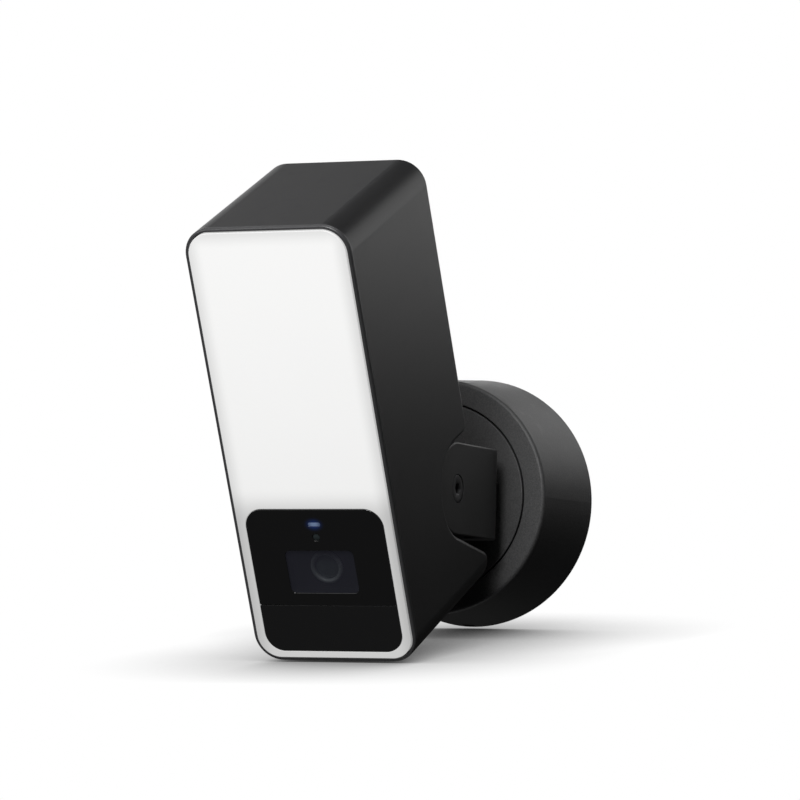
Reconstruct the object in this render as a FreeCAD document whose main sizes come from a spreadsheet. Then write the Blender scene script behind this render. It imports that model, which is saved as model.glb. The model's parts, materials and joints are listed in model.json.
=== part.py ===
"""Wall-mounted floodlight security camera, as a parametric FreeCAD document.

Row frame: the origin is the centre of the base's back face, which lies on the wall; +Z is up, -Y points
away from the wall and +X is to the right of somebody who faces the lamp. The pieces of the head are drawn
upright in the head's own frame, whose origin is on the tilt axis, and each one's Placement then tilts it into
the row frame.
"""
import FreeCAD, Part
import math
import os
from types import SimpleNamespace

import Sketcher
from FreeCAD import Placement, Rotation, Vector

# Driving dimensions in millimetres, or degrees for the two angles.
DIMENSIONS = {
    "head_w": (76.1, "head, width"),
    "head_h": (197.6, "head, height"),
    "head_d": (88.2, "head, front to back"),
    "head_r": (12, "head, radius of the four long edges"),
    "sleeve_t": (3, "head sleeve, wall thickness"),
    "back_edge": (2, "head sleeve, radius of the back edges"),
    "rim_t": (0.8, "head sleeve, thickness of its wall at the front rebate"),
    "rebate_d": (4, "head sleeve, the rebate's floor behind the head's front"),
    "frame_t": (1.4, "front frame, thickness across the front"),
    "frame_front": (0.6, "front frame, its front behind the head's front"),
    "frame_back": (1.7, "front frame, its visible back behind the head's front"),
    "frame_r": (1, "front frame, radius of the outer front edge"),
    "frame_seam": (0.25, "parting line between the front frame and the sleeve"),
    "frame_gap": (0.5, "dark gap between the front frame and the diffuser"),
    "pivot_back": (72.8, "tilt axis, distance behind the head's front"),
    "pivot_up": (50.5, "tilt axis, height above the head's underside"),
    "pivot_out": (108, "tilt axis, distance from the wall"),
    "tilt_rest": (26, "head, downward tilt as built, degrees"),
    "slot_r": (21.5, "hinge slot in the sleeve, radius about the tilt axis"),
    "slot_slope": (34.5, "hinge slot, slope of its lower edge, degrees"),
    "slot_corner": (4, "hinge slot, radius of the corners at its mouth"),
    "cheek_r": (20.3, "arm cheek, radius and half height"),
    "cheek_t": (3.6, "arm cheek, thickness"),
    "arm_w": (72, "arm, width over the cheeks"),
    "arm_back": (58, "arm, distance of its back from the wall"),
    "arm_throat": (80, "arm, distance of the web's front from the wall"),
    "arm_edge": (8, "arm, radius of its two rear edges"),
    "neck_w": (62, "arm neck, width"),
    "neck_h": (13, "arm neck, height"),
    "barrel_r": (27, "hinge barrel, radius"),
    "barrel_w": (64, "hinge barrel, width"),
    "bolt_r": (4, "tilt screw, shank radius"),
    "screw_head_r": (6.1, "tilt screw, head radius"),
    "socket_r": (2.6, "tilt screw, hexagon socket, radius over its corners"),
    "sink_d": (2.4, "tilt screw, depth of the sinking for its head and nut"),
    "cable_way_r": (5, "cable way through the arm and the spindle, radius"),
    "arm_screw_r": (1.6, "arm screws, shank radius"),
    "base_r": (57, "base, radius at the wall"),
    "base_front_r": (53.2, "base, radius at the front edge"),
    "base_d": (49.7, "base, depth from the wall"),
    "base_t": (3, "base housing, wall thickness"),
    "base_edge": (1.6, "base housing, radius of the front edge"),
    "ring_t": (3.8, "base housing, thickness of the front ring"),
    "disc_r": (42.6, "turntable, radius of the visible disc"),
    "disc_gap": (0.7, "turntable, gap to the base ring"),
    "diffuser_t": (2.7, "diffuser, thickness"),
    "panel_w": (64.4, "camera panel, width"),
    "panel_t": (2, "camera panel, thickness"),
    "panel_proud": (0.15, "camera panel, how far its glass stands proud of the diffuser"),
    "panel_low": (4.95, "camera panel, lower edge above the head's underside"),
    "panel_high": (70.95, "camera panel, upper edge above the head's underside"),
    "panel_r": (8.4, "camera panel, corner radius"),
    "panel_split": (26.5, "joint of glass and sensor cover above the underside"),
    "seam": (0.15, "clearance between fitted front pieces"),
    "thread_play": (0.05, "screw holes, clearance round the shank"),
    "window_w": (32, "lens window, width"),
    "window_h": (19.7, "lens window, height"),
    "lens_up": (42.1, "lens axis above the head's underside"),
    "lens_r": (7.6, "lens barrel, radius"),
    "light_up": (64, "status light above the head's underside"),
    "light_w": (5.8, "status light, width"),
    "light_h": (1.7, "status light, height"),
    "sensor_up": (58.1, "ambient light sensor above the head's underside"),
    "sensor_r": (1.7, "ambient light sensor, radius"),
    "board_t": (1.6, "circuit boards, thickness"),
    "plate_t": (2.5, "wall bracket, thickness"),
    "plate_r": (47, "wall bracket, radius"),
    "wall_hole_r": (2.5, "wall screw holes, radius"),
    "wall_pcd": (70, "wall screw holes, pitch circle"),
    "entry_r": (5, "cable entry in the grommet, radius"),
    "entry_l": (6, "cable entry, length"),
    "gasket_t": (1.5, "wall gasket, thickness"),
    "spindle_r": (13, "turntable spindle, radius"),
    "spindle_play": (0.06, "turntable spindle and tilt screw, running clearance"),
    "screw_r": (1.5, "chassis and knuckle screws, shank radius"),
    "screw_cap_r": (2.8, "chassis and knuckle screws, head radius"),
    "post_r": (3, "head housing, radius of the inner posts"),
    "chassis_back": (27.8, "chassis plate, its back behind the head's front"),
    "button_r": (3.5, "reset button, radius"),
    "button_y": (-2, "reset button, place behind the tilt axis"),
}

doc = FreeCAD.newDocument("floodlight_camera")
sheet = doc.addObject("Spreadsheet::Sheet", "Sizes")


class Size:
    """A length or angle: its number, and the spreadsheet expression that gives it."""

    def __init__(self, number, text):
        self.number = float(number)
        self.text = text

    def __add__(self, other):
        other = as_size(other)
        return Size(self.number + other.number, f"({self.text} + {other.text})")

    def __sub__(self, other):
        other = as_size(other)
        return Size(self.number - other.number, f"({self.text} - {other.text})")

    def __mul__(self, other):
        other = as_size(other)
        return Size(self.number * other.number, f"{self.text} * {other.text}")

    def __truediv__(self, other):
        other = as_size(other)
        return Size(self.number / other.number, f"{self.text} / {other.text}")

    def __neg__(self):
        return Size(-self.number, f"(0 - {self.text})")

    __radd__ = __add__
    __rmul__ = __mul__

    def __rsub__(self, other):
        return as_size(other) - self


def as_size(value):
    """A Size as it is, or a plain number as a Size."""
    if isinstance(value, Size):
        return value
    return Size(value, f"({value!r})")


def sine(angle):
    """Sine of an angle in degrees."""
    return Size(math.sin(math.radians(angle.number)), f"sin({angle.text})")


def cosine(angle):
    """Cosine of an angle in degrees."""
    return Size(math.cos(math.radians(angle.number)), f"cos({angle.text})")


def fill_sheet():
    """Writes the driving dimensions into the spreadsheet and returns them by name as Sizes."""
    sizes = SimpleNamespace()
    for row, (alias, (number, note)) in enumerate(DIMENSIONS.items(), 1):
        sheet.set(f"A{row}", alias)
        sheet.set(f"B{row}", str(number))
        sheet.set(f"C{row}", note)
        sheet.setAlias(f"B{row}", alias)
        setattr(sizes, alias, Size(number, f"Sizes.{alias}"))
    doc.recompute()
    return sizes


dim = fill_sheet()

# Places that follow from the driving dimensions.
head_front = -dim.pivot_back
head_low = -dim.pivot_up
head_back = head_front + dim.head_d
sleeve_front = head_front + dim.frame_back + dim.frame_seam
diffuser_inset = dim.frame_t + dim.frame_gap
panel_front = head_front - dim.panel_proud
panel_back = panel_front + dim.panel_t
chassis_rear = head_front + dim.chassis_back
chassis_front = chassis_rear - 1.5
driver_back = as_size(-10)
speaker_y = as_size(-28)
ring_hole_r = dim.disc_r + dim.disc_gap
bearing_front = as_size(34)
post_ring = as_size(46.7)
lock_back = as_size(7.5)
power_front = as_size(17)


def bind(feature, name, size):
    """Ties a property of a feature to its size."""
    feature.setExpression(name, as_size(size).text)


# ---- outlines: each one draws a closed loop into a sketch ----


def pin_point(sketch, geometry, point, across, up):
    """Constraints that hold a point at a place in the sketch, with the sizes that they follow."""
    tied = []
    for kind, axis, size in (("DistanceX", -2, as_size(across)), ("DistanceY", -1, as_size(up))):
        if size.number == 0 and size.text.startswith("(0"):
            tied.append((Sketcher.Constraint("PointOnObject", geometry, point, axis), None))
        else:
            tied.append((Sketcher.Constraint(kind, -1, 1, geometry, point, size.number), size))
    return tied


def add_tied(sketch, tied):
    """Adds constraints and ties each one that has a size to it."""
    first = sketch.ConstraintCount
    sketch.addConstraint([constraint for constraint, _ in tied])
    for index, (_, size) in enumerate(tied, first):
        if size is not None:
            sketch.setExpression(f"Constraints[{index}]", size.text)


def circle(across, up, radius):
    """A circle about a point of the sketch."""

    def draw(sketch):
        centre = Vector(as_size(across).number, as_size(up).number, 0)
        edge = sketch.addGeometry(Part.Circle(centre, Vector(0, 0, 1), as_size(radius).number))
        tied = pin_point(sketch, edge, 3, across, up)
        tied.append((Sketcher.Constraint("Radius", edge, as_size(radius).number), as_size(radius)))
        add_tied(sketch, tied)

    return draw


def polygon(points):
    """A closed run of straight edges through the points."""

    def draw(sketch):
        places = [Vector(as_size(a).number, as_size(u).number, 0) for a, u in points]
        ends = places[1:] + places[:1]
        edges = [sketch.addGeometry(Part.LineSegment(a, b)) for a, b in zip(places, ends)]
        tied = []
        for edge, following, point in zip(edges, edges[1:] + edges[:1], points):
            tied.append((Sketcher.Constraint("Coincident", edge, 2, following, 1), None))
            tied += pin_point(sketch, edge, 1, *point)
        add_tied(sketch, tied)

    return draw


def box(left, right, low, high, low_r=0, high_r=None):
    """A rectangle whose two lower and two upper corners may be rounded."""
    low_r = as_size(low_r)
    high_r = low_r if high_r is None else as_size(high_r)
    left, right, low, high = map(as_size, (left, right, low, high))

    def draw(sketch):
        corners = ((right, low, low_r), (right, high, high_r), (left, high, high_r), (left, low, low_r))
        inward = ((-1, 1), (-1, -1), (1, -1), (1, 1))
        centres = []
        for (across, up, radius), (step_x, step_y) in zip(corners, inward):
            r = radius.number
            centres.append(Vector(across.number + step_x * r, up.number + step_y * r, 0))
        quarter = [Vector(0, -1, 0), Vector(1, 0, 0), Vector(0, 1, 0), Vector(-1, 0, 0)]
        edges = []
        for k in range(4):
            start = centres[k - 1] + quarter[k] * corners[k - 1][2].number
            end = centres[k] + quarter[k] * corners[k][2].number
            edges.append(sketch.addGeometry(Part.LineSegment(start, end)))
        tied = []
        for k, (_, _, radius) in enumerate(corners):
            following = edges[(k + 1) % 4]
            if radius.number == 0:
                tied.append((Sketcher.Constraint("Coincident", edges[k], 2, following, 1), None))
                continue
            turn = Part.Circle(centres[k], Vector(0, 0, 1), radius.number)
            start = math.radians(90 * k - 90)
            arc = sketch.addGeometry(Part.ArcOfCircle(turn, start, start + math.pi / 2))
            tied.append((Sketcher.Constraint("Tangent", edges[k], 2, arc, 1), None))
            tied.append((Sketcher.Constraint("Tangent", arc, 2, following, 1), None))
            tied.append((Sketcher.Constraint("Radius", arc, radius.number), radius))
        for k, kind in enumerate(("Horizontal", "Vertical", "Horizontal", "Vertical")):
            tied.append((Sketcher.Constraint(kind, edges[k]), None))
        for k, size in ((0, low), (2, high)):
            tied.append((Sketcher.Constraint("DistanceY", -1, 1, edges[k], 1, size.number), size))
        for k, size in ((1, right), (3, left)):
            tied.append((Sketcher.Constraint("DistanceX", -1, 1, edges[k], 1, size.number), size))
        add_tied(sketch, tied)

    return draw


def hinge_slot(radius, slope, reach):
    """The hinge slot seen from the side: a level top, a round front about the axis and a sloping floor."""

    def draw(sketch):
        low = Vector(-radius.number * sine(slope).number, -radius.number * cosine(slope).number, 0)
        run = (reach.number - low.x) * math.tan(math.radians(slope.number))
        heel = Vector(reach.number, low.y - run, 0)
        top, roof = Vector(0, radius.number, 0), Vector(reach.number, radius.number, 0)
        ceiling = sketch.addGeometry(Part.LineSegment(roof, top))
        turn = Part.Circle(Vector(0, 0, 0), Vector(0, 0, 1), radius.number)
        start, end = math.pi / 2, math.radians(270 - slope.number)
        front = sketch.addGeometry(Part.ArcOfCircle(turn, start, end))
        floor = sketch.addGeometry(Part.LineSegment(low, heel))
        rear = sketch.addGeometry(Part.LineSegment(heel, roof))
        add_tied(sketch, [
            (Sketcher.Constraint("Tangent", ceiling, 2, front, 1), None),
            (Sketcher.Constraint("Tangent", front, 2, floor, 1), None),
            (Sketcher.Constraint("Coincident", floor, 2, rear, 1), None),
            (Sketcher.Constraint("Coincident", rear, 2, ceiling, 1), None),
            (Sketcher.Constraint("Coincident", front, 3, -1, 1), None),
            (Sketcher.Constraint("Horizontal", ceiling), None),
            (Sketcher.Constraint("Vertical", rear), None),
            (Sketcher.Constraint("Radius", front, radius.number), radius),
            (Sketcher.Constraint("DistanceX", -1, 1, rear, 1, reach.number), reach),
            (Sketcher.Constraint("Angle", floor, 1, -1, 1, math.radians(slope.number)), slope),
        ])

    return draw


# ---- features of a body ----

PLANES = {"XY": "XY_Plane", "XZ": "XZ_Plane", "YZ": "YZ_Plane"}
# Along which way a sketch's own normal runs on each plane: +Z, -Y and +X.
NORMAL_SIGN = {"XY": 1, "XZ": -1, "YZ": 1}

pieces = {}


def piece(label):
    """A new body, kept under its label."""
    made = doc.addObject("PartDesign::Body", label)
    made.Label = label
    made.AllowCompound = True
    pieces[label] = made
    return made


def tilted(made):
    """Puts a body that was drawn in the head's frame into the row frame."""
    made.Placement = Placement(Vector(0, 0, 0), Rotation(Vector(1, 0, 0), dim.tilt_rest.number))
    bind(made, "Placement.Base.y", -dim.pivot_out)
    bind(made, "Placement.Rotation.Angle", dim.tilt_rest)
    return made


def sketch_on(body, plane, place, loops):
    """A sketch with the loops on one of the body's planes, moved along that plane's normal to place."""
    sketch = body.newObject("Sketcher::SketchObject", "Outline")
    role = PLANES[plane]
    origin_plane = next(f for f in body.Origin.OriginFeatures if f.Role == role)
    sketch.AttachmentSupport = (origin_plane, [""])
    sketch.MapMode = "FlatFace"
    bind(sketch, "AttachmentOffset.Base.z", as_size(place) * NORMAL_SIGN[plane])
    for draw in loops:
        draw(sketch)
    return sketch


def run(body, plane, loops, start, end, cut=False):
    """Adds the loops' area from start to end along the plane's axis, or cuts it away."""
    sketch = sketch_on(body, plane, start, loops)
    feature = body.newObject("PartDesign::Pocket" if cut else "PartDesign::Pad", "Run")
    feature.Profile = sketch
    bind(feature, "Length", as_size(end) - as_size(start))
    against_normal = NORMAL_SIGN[plane] < 0
    feature.Reversed = against_normal != cut
    body.Tip = feature
    return feature


def turn(body, loops):
    """Turns the loops' area about the Y axis, with the radius drawn along X."""
    sketch = sketch_on(body, "XY", 0, loops)
    feature = body.newObject("PartDesign::Revolution", "Turn")
    feature.Profile = sketch
    feature.ReferenceAxis = (sketch, ["V_Axis"])
    feature.Angle = 360
    body.Tip = feature
    return feature


def round_edges(body, radius, chosen):
    """Rounds the edges of the body's newest feature for which chosen is true."""
    doc.recompute()
    base = body.Tip
    edges = enumerate(base.Shape.Edges, 1)
    names = [f"Edge{number}" for number, edge in edges if chosen(edge)]
    if not names:
        raise ValueError(f"{body.Label}: no edge to round")
    feature = body.newObject("PartDesign::Fillet", "Rounding")
    feature.Base = (base, names)
    bind(feature, "Radius", radius)
    body.Tip = feature
    return feature


def lies_at(axis, value):
    """Chooses the edges that lie wholly in the plane at value on one axis."""

    def chosen(edge):
        limits = edge.BoundBox
        low = getattr(limits, f"{axis}Min")
        high = getattr(limits, f"{axis}Max")
        return abs(low - as_size(value).number) < 0.01 and abs(high - as_size(value).number) < 0.01

    return chosen


def row_of(count, pitch, middle=0):
    """Places of a number of things at a pitch, about a middle."""
    return [as_size(middle) + as_size(pitch) * (k - (count - 1) / 2) for k in range(count)]


def screws(label, plane, places, radius, head_radius, start, neck, end):
    """A group of like screws: heads from start to neck and shanks from neck to end, either way along."""
    made = piece(label)
    low, high = sorted((as_size(start), as_size(neck)), key=lambda size: size.number)
    run(made, plane, [circle(a, u, head_radius) for a, u in places], low, high)
    low, high = sorted((as_size(neck), as_size(end)), key=lambda size: size.number)
    run(made, plane, [circle(a, u, radius) for a, u in places], low, high)
    return made


def block(label, left, right, low, high, front, back, corner=0):
    """A plain block: across from left to right, up from low to high, and from front to back."""
    made = piece(label)
    run(made, "XZ", [box(left, right, low, high, corner)], front, back)
    return made


# ---- the base, fixed to the wall ----


def make_wall_bracket():
    """Steel plate with four wall screw holes, a cable hole and two tabs that hold the housing."""
    made = piece("wall_bracket")
    half = dim.wall_pcd / 2
    holes = [circle(a, u, dim.wall_hole_r) for a, u in ((half, 0), (0, half), (-half, 0), (0, -half))]
    run(made, "XZ", [circle(0, 0, dim.plate_r), circle(0, 0, dim.entry_r + 4)] + holes, -dim.plate_t, 0)
    for side in (-1, 1):
        low, high = sorted((45.5 * side, 43.5 * side))
        run(made, "XZ", [box(-8, 8, low, high)], -12, -dim.plate_t)
    run(made, "XY", [circle(0, -lock_back, 1.75)], -46, -43, cut=True)


def make_wall_gasket():
    """Foam ring between the housing and the wall."""
    made = piece("wall_gasket")
    run(made, "XZ", [circle(0, 0, dim.base_r - 0.2), circle(0, 0, dim.base_r - dim.base_t)], -dim.gasket_t, 0)


def make_base_housing():
    """Tapered drum with a front ring round the turntable and four inner posts."""
    made = piece("base_housing")
    ring_back = dim.ring_t - dim.base_d
    turn(made, [polygon([
        (dim.base_r, -dim.gasket_t),
        (dim.base_front_r, -dim.base_d),
        (ring_hole_r, -dim.base_d),
        (ring_hole_r, ring_back),
        (dim.base_front_r - dim.base_t, ring_back),
        (dim.base_r - dim.base_t, -dim.gasket_t),
    ])])
    at_front = lies_at("Y", -dim.base_d)
    round_edges(made, dim.base_edge, lambda edge: at_front(edge) and edge.BoundBox.XLength > 100)
    round_edges(made, 0.4, lambda edge: at_front(edge) and edge.BoundBox.XLength < 100)
    run(made, "XZ", [circle(a, u, 3) for a, u in post_places()], ring_back - 0.5, -bearing_front)
    run(made, "XY", [circle(0, -lock_back, 3.2)], -dim.base_r - 1, -dim.base_r + dim.base_t + 2, cut=True)
    pilots = [circle(a, u, 1.3) for a, u in post_places()]
    run(made, "XZ", pilots, -bearing_front - 8, -bearing_front, cut=True)


def post_places():
    """Places of the four posts that carry the bearing plate."""
    reach = post_ring * cosine(as_size(45))
    return [(reach * a, reach * u) for a, u in ((1, 1), (-1, 1), (-1, -1), (1, -1))]


def make_bearing_plate():
    """Moulded plate with the bearing boss of the turntable and the peg that limits its turn."""
    made = piece("bearing_plate")
    front = -bearing_front
    run(made, "XZ", [circle(0, 0, 50.2)], front, front + 3)
    run(made, "XZ", [circle(0, 0, dim.spindle_r + 5)], front - 4, front + 8)
    run(made, "XZ", [box(-2.5, 2.5, -28, -24)], front - 8, front)
    bore = dim.spindle_r + dim.spindle_play
    run(made, "XZ", [circle(0, 0, bore)], front - 5, front + 9, cut=True)
    run(made, "XZ", [circle(a, u, 1.7) for a, u in post_places()], front - 1, front + 4, cut=True)


def make_base_fasteners():
    """Four screws of the bearing plate and the lock screw under the housing."""
    screws("bearing_plate_screws", "XZ", post_places(), 1.25, 2.6, -bearing_front + 5, -bearing_front + 3,
           -bearing_front - 6)
    screws("lock_screw", "XY", [(0, -lock_back)], 1.7, 3, -dim.base_r + 1.3, -dim.base_r + 3.5, -42)


def make_cable_grommet():
    """Rubber grommet in the bracket, through which the supply cable enters."""
    made = piece("cable_grommet")
    run(made, "XZ", [circle(0, 0, dim.entry_r + 4)], -dim.plate_t, 0)
    run(made, "XZ", [circle(0, 0, dim.entry_r + 6)], -dim.entry_l, -dim.plate_t)
    run(made, "XZ", [circle(0, 0, dim.entry_r)], -dim.entry_l - 1, 1, cut=True)


def make_power_unit():
    """Supply board on three standoffs, with its transformer, capacitors and terminal block."""
    front = -power_front
    back = front + dim.board_t
    made = piece("power_board")
    run(made, "XZ", [circle(0, 0, 39), circle(0, 0, 10)], front, back)
    turns = [as_size(angle) for angle in (90, 210, 330)]
    places = [(30 * cosine(angle), 30 * sine(angle)) for angle in turns]
    made = piece("board_standoffs")
    run(made, "XZ", [circle(a, u, 2.5) for a, u in places], back, -dim.plate_t)
    block("power_transformer", 19, 36, -10, 10, front - 12, front, 1.5)
    made = piece("power_capacitors")
    run(made, "XZ", [circle(-28, up, 5) for up in row_of(2, 13)], front - 12.5, front)
    block("terminal_block", -9, 9, -34, -23, back, back + 7)


# ---- the turntable and its arm ----


def make_turntable_disc():
    """Round cover with a stepped hollow spindle and the lug that meets the peg at either end of the turn."""
    made = piece("turntable_disc")
    disc_back = -dim.base_d + 3
    run(made, "XZ", [circle(0, 0, dim.disc_r)], -dim.base_d, disc_back)
    round_edges(made, 0.4, lambda edge: lies_at("Y", -dim.base_d)(edge))
    run(made, "XZ", [circle(0, 0, dim.spindle_r + 4)], disc_back, -bearing_front - 5)
    run(made, "XZ", [circle(0, 0, dim.spindle_r)], -bearing_front - 5, -bearing_front + 12)
    run(made, "XZ", [box(-2.5, 2.5, 24, 28)], disc_back, -bearing_front - 5)
    run(made, "XZ", [circle(0, 0, dim.cable_way_r)], -dim.base_d - 1, -bearing_front + 13, cut=True)
    run(made, "XZ", [circle(0, 0, 8)], disc_back, -bearing_front + 13, cut=True)
    holes = [circle(a, 0, dim.arm_screw_r + 0.25) for a in arm_screw_rows()]
    run(made, "XZ", holes, -dim.base_d - 1, disc_back + 1, cut=True)


def make_turntable_retainers():
    """Slip washers on both faces of the bearing boss, and the ring that keeps the spindle in it."""
    boss_front, boss_back = -bearing_front - 4, -bearing_front + 8
    hole = dim.spindle_r + 0.05
    for label, start, end in (
        ("front_slip_washer", boss_front - 1, boss_front - 0.1),
        ("rear_slip_washer", boss_back + 0.1, boss_back + 1),
    ):
        made = piece(label)
        run(made, "XZ", [circle(0, 0, dim.spindle_r + 4), circle(0, 0, hole)], start, end)
    made = piece("retaining_ring")
    ring = [circle(0, 0, dim.spindle_r + 5), circle(0, 0, dim.spindle_r)]
    run(made, "XZ", ring, boss_back + 1, boss_back + 4)


def make_hinge_arm():
    """Flat neck, rounded block and two cheeks that hold the tilt screw, with a cable way in the middle."""
    made = piece("hinge_arm")
    half = dim.arm_w / 2
    inner = half - dim.cheek_t
    tall = dim.cheek_r
    run(made, "XY", [box(-half, half, -dim.pivot_out, -dim.arm_back, 0, dim.arm_edge)], -tall, tall)
    run(made, "YZ", [circle(-dim.pivot_out, 0, dim.cheek_r)], -half, half)
    throat = box(-inner, inner, -dim.pivot_out - tall - 1, -dim.arm_throat)
    run(made, "XY", [throat], -tall - 1, tall + 1, cut=True)
    round_edges(made, 0.8, lambda edge: lies_at("X", half)(edge) or lies_at("X", -half)(edge))
    neck = box(-dim.neck_w / 2, dim.neck_w / 2, -dim.neck_h / 2, dim.neck_h / 2, 1)
    run(made, "XZ", [neck], -dim.arm_back - 1, -dim.base_d)
    run(made, "YZ", [circle(-dim.pivot_out, 0, dim.bolt_r + dim.spindle_play)], -half - 1, half + 1, cut=True)
    sink = circle(-dim.pivot_out, 0, dim.screw_head_r + 0.2)
    run(made, "YZ", [sink], half - dim.sink_d, half + 1, cut=True)
    run(made, "YZ", [sink], -half - 1, dim.sink_d - half, cut=True)
    run(made, "XZ", [circle(0, 0, dim.cable_way_r)], -dim.arm_throat - 1, -dim.base_d + 1, cut=True)
    pilots = [circle(a, 0, dim.arm_screw_r) for a in arm_screw_rows()]
    run(made, "XZ", pilots, -dim.base_d - 14, -dim.base_d + 1, cut=True)
    screws("arm_screws", "XZ", [(a, 0) for a in arm_screw_rows()], dim.arm_screw_r, 3.2, -dim.base_d + 5.5,
           -dim.base_d + 3, -dim.base_d - 12)


def arm_screw_rows():
    """Places along X of the two screws that fix the arm to the turntable."""
    return row_of(2, 44)


def make_tilt_screw():
    """Screw with a hexagon socket that carries the head, and its round nut in the far cheek."""
    half = dim.arm_w / 2
    made = piece("tilt_screw")
    under_head = half - dim.sink_d
    run(made, "YZ", [circle(-dim.pivot_out, 0, dim.bolt_r)], -half + 0.4, under_head)
    run(made, "YZ", [circle(-dim.pivot_out, 0, dim.screw_head_r)], under_head, half - 0.2)
    round_edges(made, 0.4, lies_at("X", half - 0.2))
    corners = [as_size(angle) for angle in range(0, 360, 60)]
    hexagon = polygon([(-dim.pivot_out + dim.socket_r * cosine(a), dim.socket_r * sine(a)) for a in corners])
    run(made, "YZ", [hexagon], half - 2, half, cut=True)
    made = piece("tilt_nut")
    ring = [circle(-dim.pivot_out, 0, radius) for radius in (dim.screw_head_r, dim.bolt_r)]
    run(made, "YZ", ring, -half + 0.2, -under_head)


# ---- the head: its shell and its hinge ----


def front_outline(inset):
    """The head's front outline, drawn in by an inset."""
    inset = as_size(inset)
    half = dim.head_w / 2 - inset
    return box(-half, half, head_low + inset, head_low + dim.head_h - inset, dim.head_r - inset)


def make_head_housing():
    """Deep shell, open at the front, with the hinge slot at its lower back and posts for the chassis."""
    made = tilted(piece("head_housing"))
    back = head_back
    run(made, "XZ", [front_outline(0)], sleeve_front, back)
    run(made, "YZ", [hinge_slot(dim.slot_r, dim.slot_slope, back + 3)], -dim.head_w, dim.head_w, cut=True)
    at_back, full_width = lies_at("Y", back), dim.head_w.number - 0.5
    round_edges(made, dim.slot_corner, lambda edge: at_back(edge) and edge.BoundBox.XLength > full_width)
    round_edges(made, dim.back_edge, lies_at("Y", back))
    run(made, "XZ", [front_outline(dim.sleeve_t)], head_front - 1, back - dim.sleeve_t, cut=True)
    run(made, "XZ", [front_outline(dim.rim_t)], head_front - 1, head_front + dim.rebate_d, cut=True)
    round_edges(made, 0.2, lies_at("Y", sleeve_front))
    floor = back - dim.sleeve_t
    run(made, "XZ", [circle(a, u, dim.post_r) for a, u in chassis_places()], chassis_rear, floor)
    run(made, "XZ", [circle(a, u, dim.post_r) for a, u in driver_places()], driver_back, floor)
    pilot = dim.screw_r + dim.thread_play
    pilots = [circle(a, u, pilot) for a, u in chassis_places()]
    run(made, "XZ", pilots, chassis_rear - 1, chassis_rear + 9, cut=True)
    pilots = [circle(a, u, pilot) for a, u in knuckle_places()]
    run(made, "XZ", pilots, floor - 1, floor + 1.8, cut=True)
    barrel = circle(0, 0, dim.barrel_r + 0.2)
    run(made, "YZ", [barrel], -dim.barrel_w / 2 - 0.2, dim.barrel_w / 2 + 0.2, cut=True)
    holes = [circle(a, u, 0.9) for u in row_of(4, 4, speaker_y) for a in row_of(5, 4)]
    holes.append(circle(0, dim.button_y, dim.button_r + 0.12))
    holes.append(circle(12, dim.button_y, 0.7))
    run(made, "XY", holes, head_low - 1, head_low + dim.sleeve_t + 0.5, cut=True)


def chassis_places():
    """Places of the four posts that carry the chassis plate."""
    return [(a, u) for u in (head_low + 97, head_low + 184) for a in row_of(2, 60)]


def driver_places():
    """Places of the four posts that carry the light driver board."""
    return [(a, u) for u in (head_low + 110, head_low + 172) for a in row_of(2, 44)]


def make_hinge_knuckle():
    """Cast barrel on the tilt axis, with the slot's lining, a fixing flange and a way for the cable."""
    made = tilted(piece("hinge_knuckle"))
    back = head_back - dim.sleeve_t
    half = dim.head_w / 2 - dim.sleeve_t - 0.1
    run(made, "YZ", [hinge_slot(dim.slot_r + 2, dim.slot_slope, back)], -half, half)
    run(made, "YZ", [hinge_slot(dim.slot_r, dim.slot_slope, back + 3)], -half - 1, half + 1, cut=True)
    run(made, "YZ", [circle(0, 0, dim.barrel_r)], -dim.barrel_w / 2, dim.barrel_w / 2)
    flange = box(-dim.barrel_w / 2, dim.barrel_w / 2, dim.slot_r, dim.slot_r + 18, 0, 4)
    run(made, "XZ", [flange], back - 3, back)
    run(made, "YZ", [circle(0, 0, dim.barrel_r - 5)], -dim.barrel_w / 2 + 4, dim.barrel_w / 2 - 4, cut=True)
    run(made, "XZ", [box(-12, 12, -10, 10, 2)], -dim.barrel_r - 1, 0, cut=True)
    run(made, "XZ", [box(-6, 6, -19, 1, 2)], 0, dim.barrel_r + 1, cut=True)
    run(made, "YZ", [circle(0, 0, dim.bolt_r + 2)], -dim.barrel_w / 2 - 1, dim.barrel_w / 2 + 1, cut=True)
    run(made, "XZ", [circle(a, u, 1.6) for a, u in knuckle_places()], back - 4, back + 1, cut=True)
    tilted(screws("knuckle_screws", "XZ", knuckle_places(), dim.screw_r, dim.screw_cap_r, back - 5, back - 3,
                  back + 1.5))


def knuckle_places():
    """Places of the screws that fix the knuckle to the head's back wall."""
    return [(a, dim.slot_r + 12) for a in row_of(3, 22)]


def make_tilt_bearings():
    """Bushes in the barrel's ends and the thin washers beside the cheeks."""
    half = dim.barrel_w / 2
    bushes = tilted(piece("tilt_bushes"))
    washers = tilted(piece("tilt_washers"))
    for side in (-1, 1):
        low, high = sorted((half * side, (half - 4) * side), key=lambda size: size.number)
        ring = [circle(0, 0, dim.bolt_r + 2), circle(0, 0, dim.bolt_r + dim.spindle_play)]
        run(bushes, "YZ", ring, low, high)
        low, high = sorted((half * side, (half + 0.3) * side), key=lambda size: size.number)
        run(washers, "YZ", [circle(0, 0, 12), circle(0, 0, dim.bolt_r + 0.3)], low, high)


# ---- the head's front ----


def panel_half(spare=0):
    """Half the panel's width with some spare round it."""
    return dim.panel_w / 2 + spare


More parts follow.
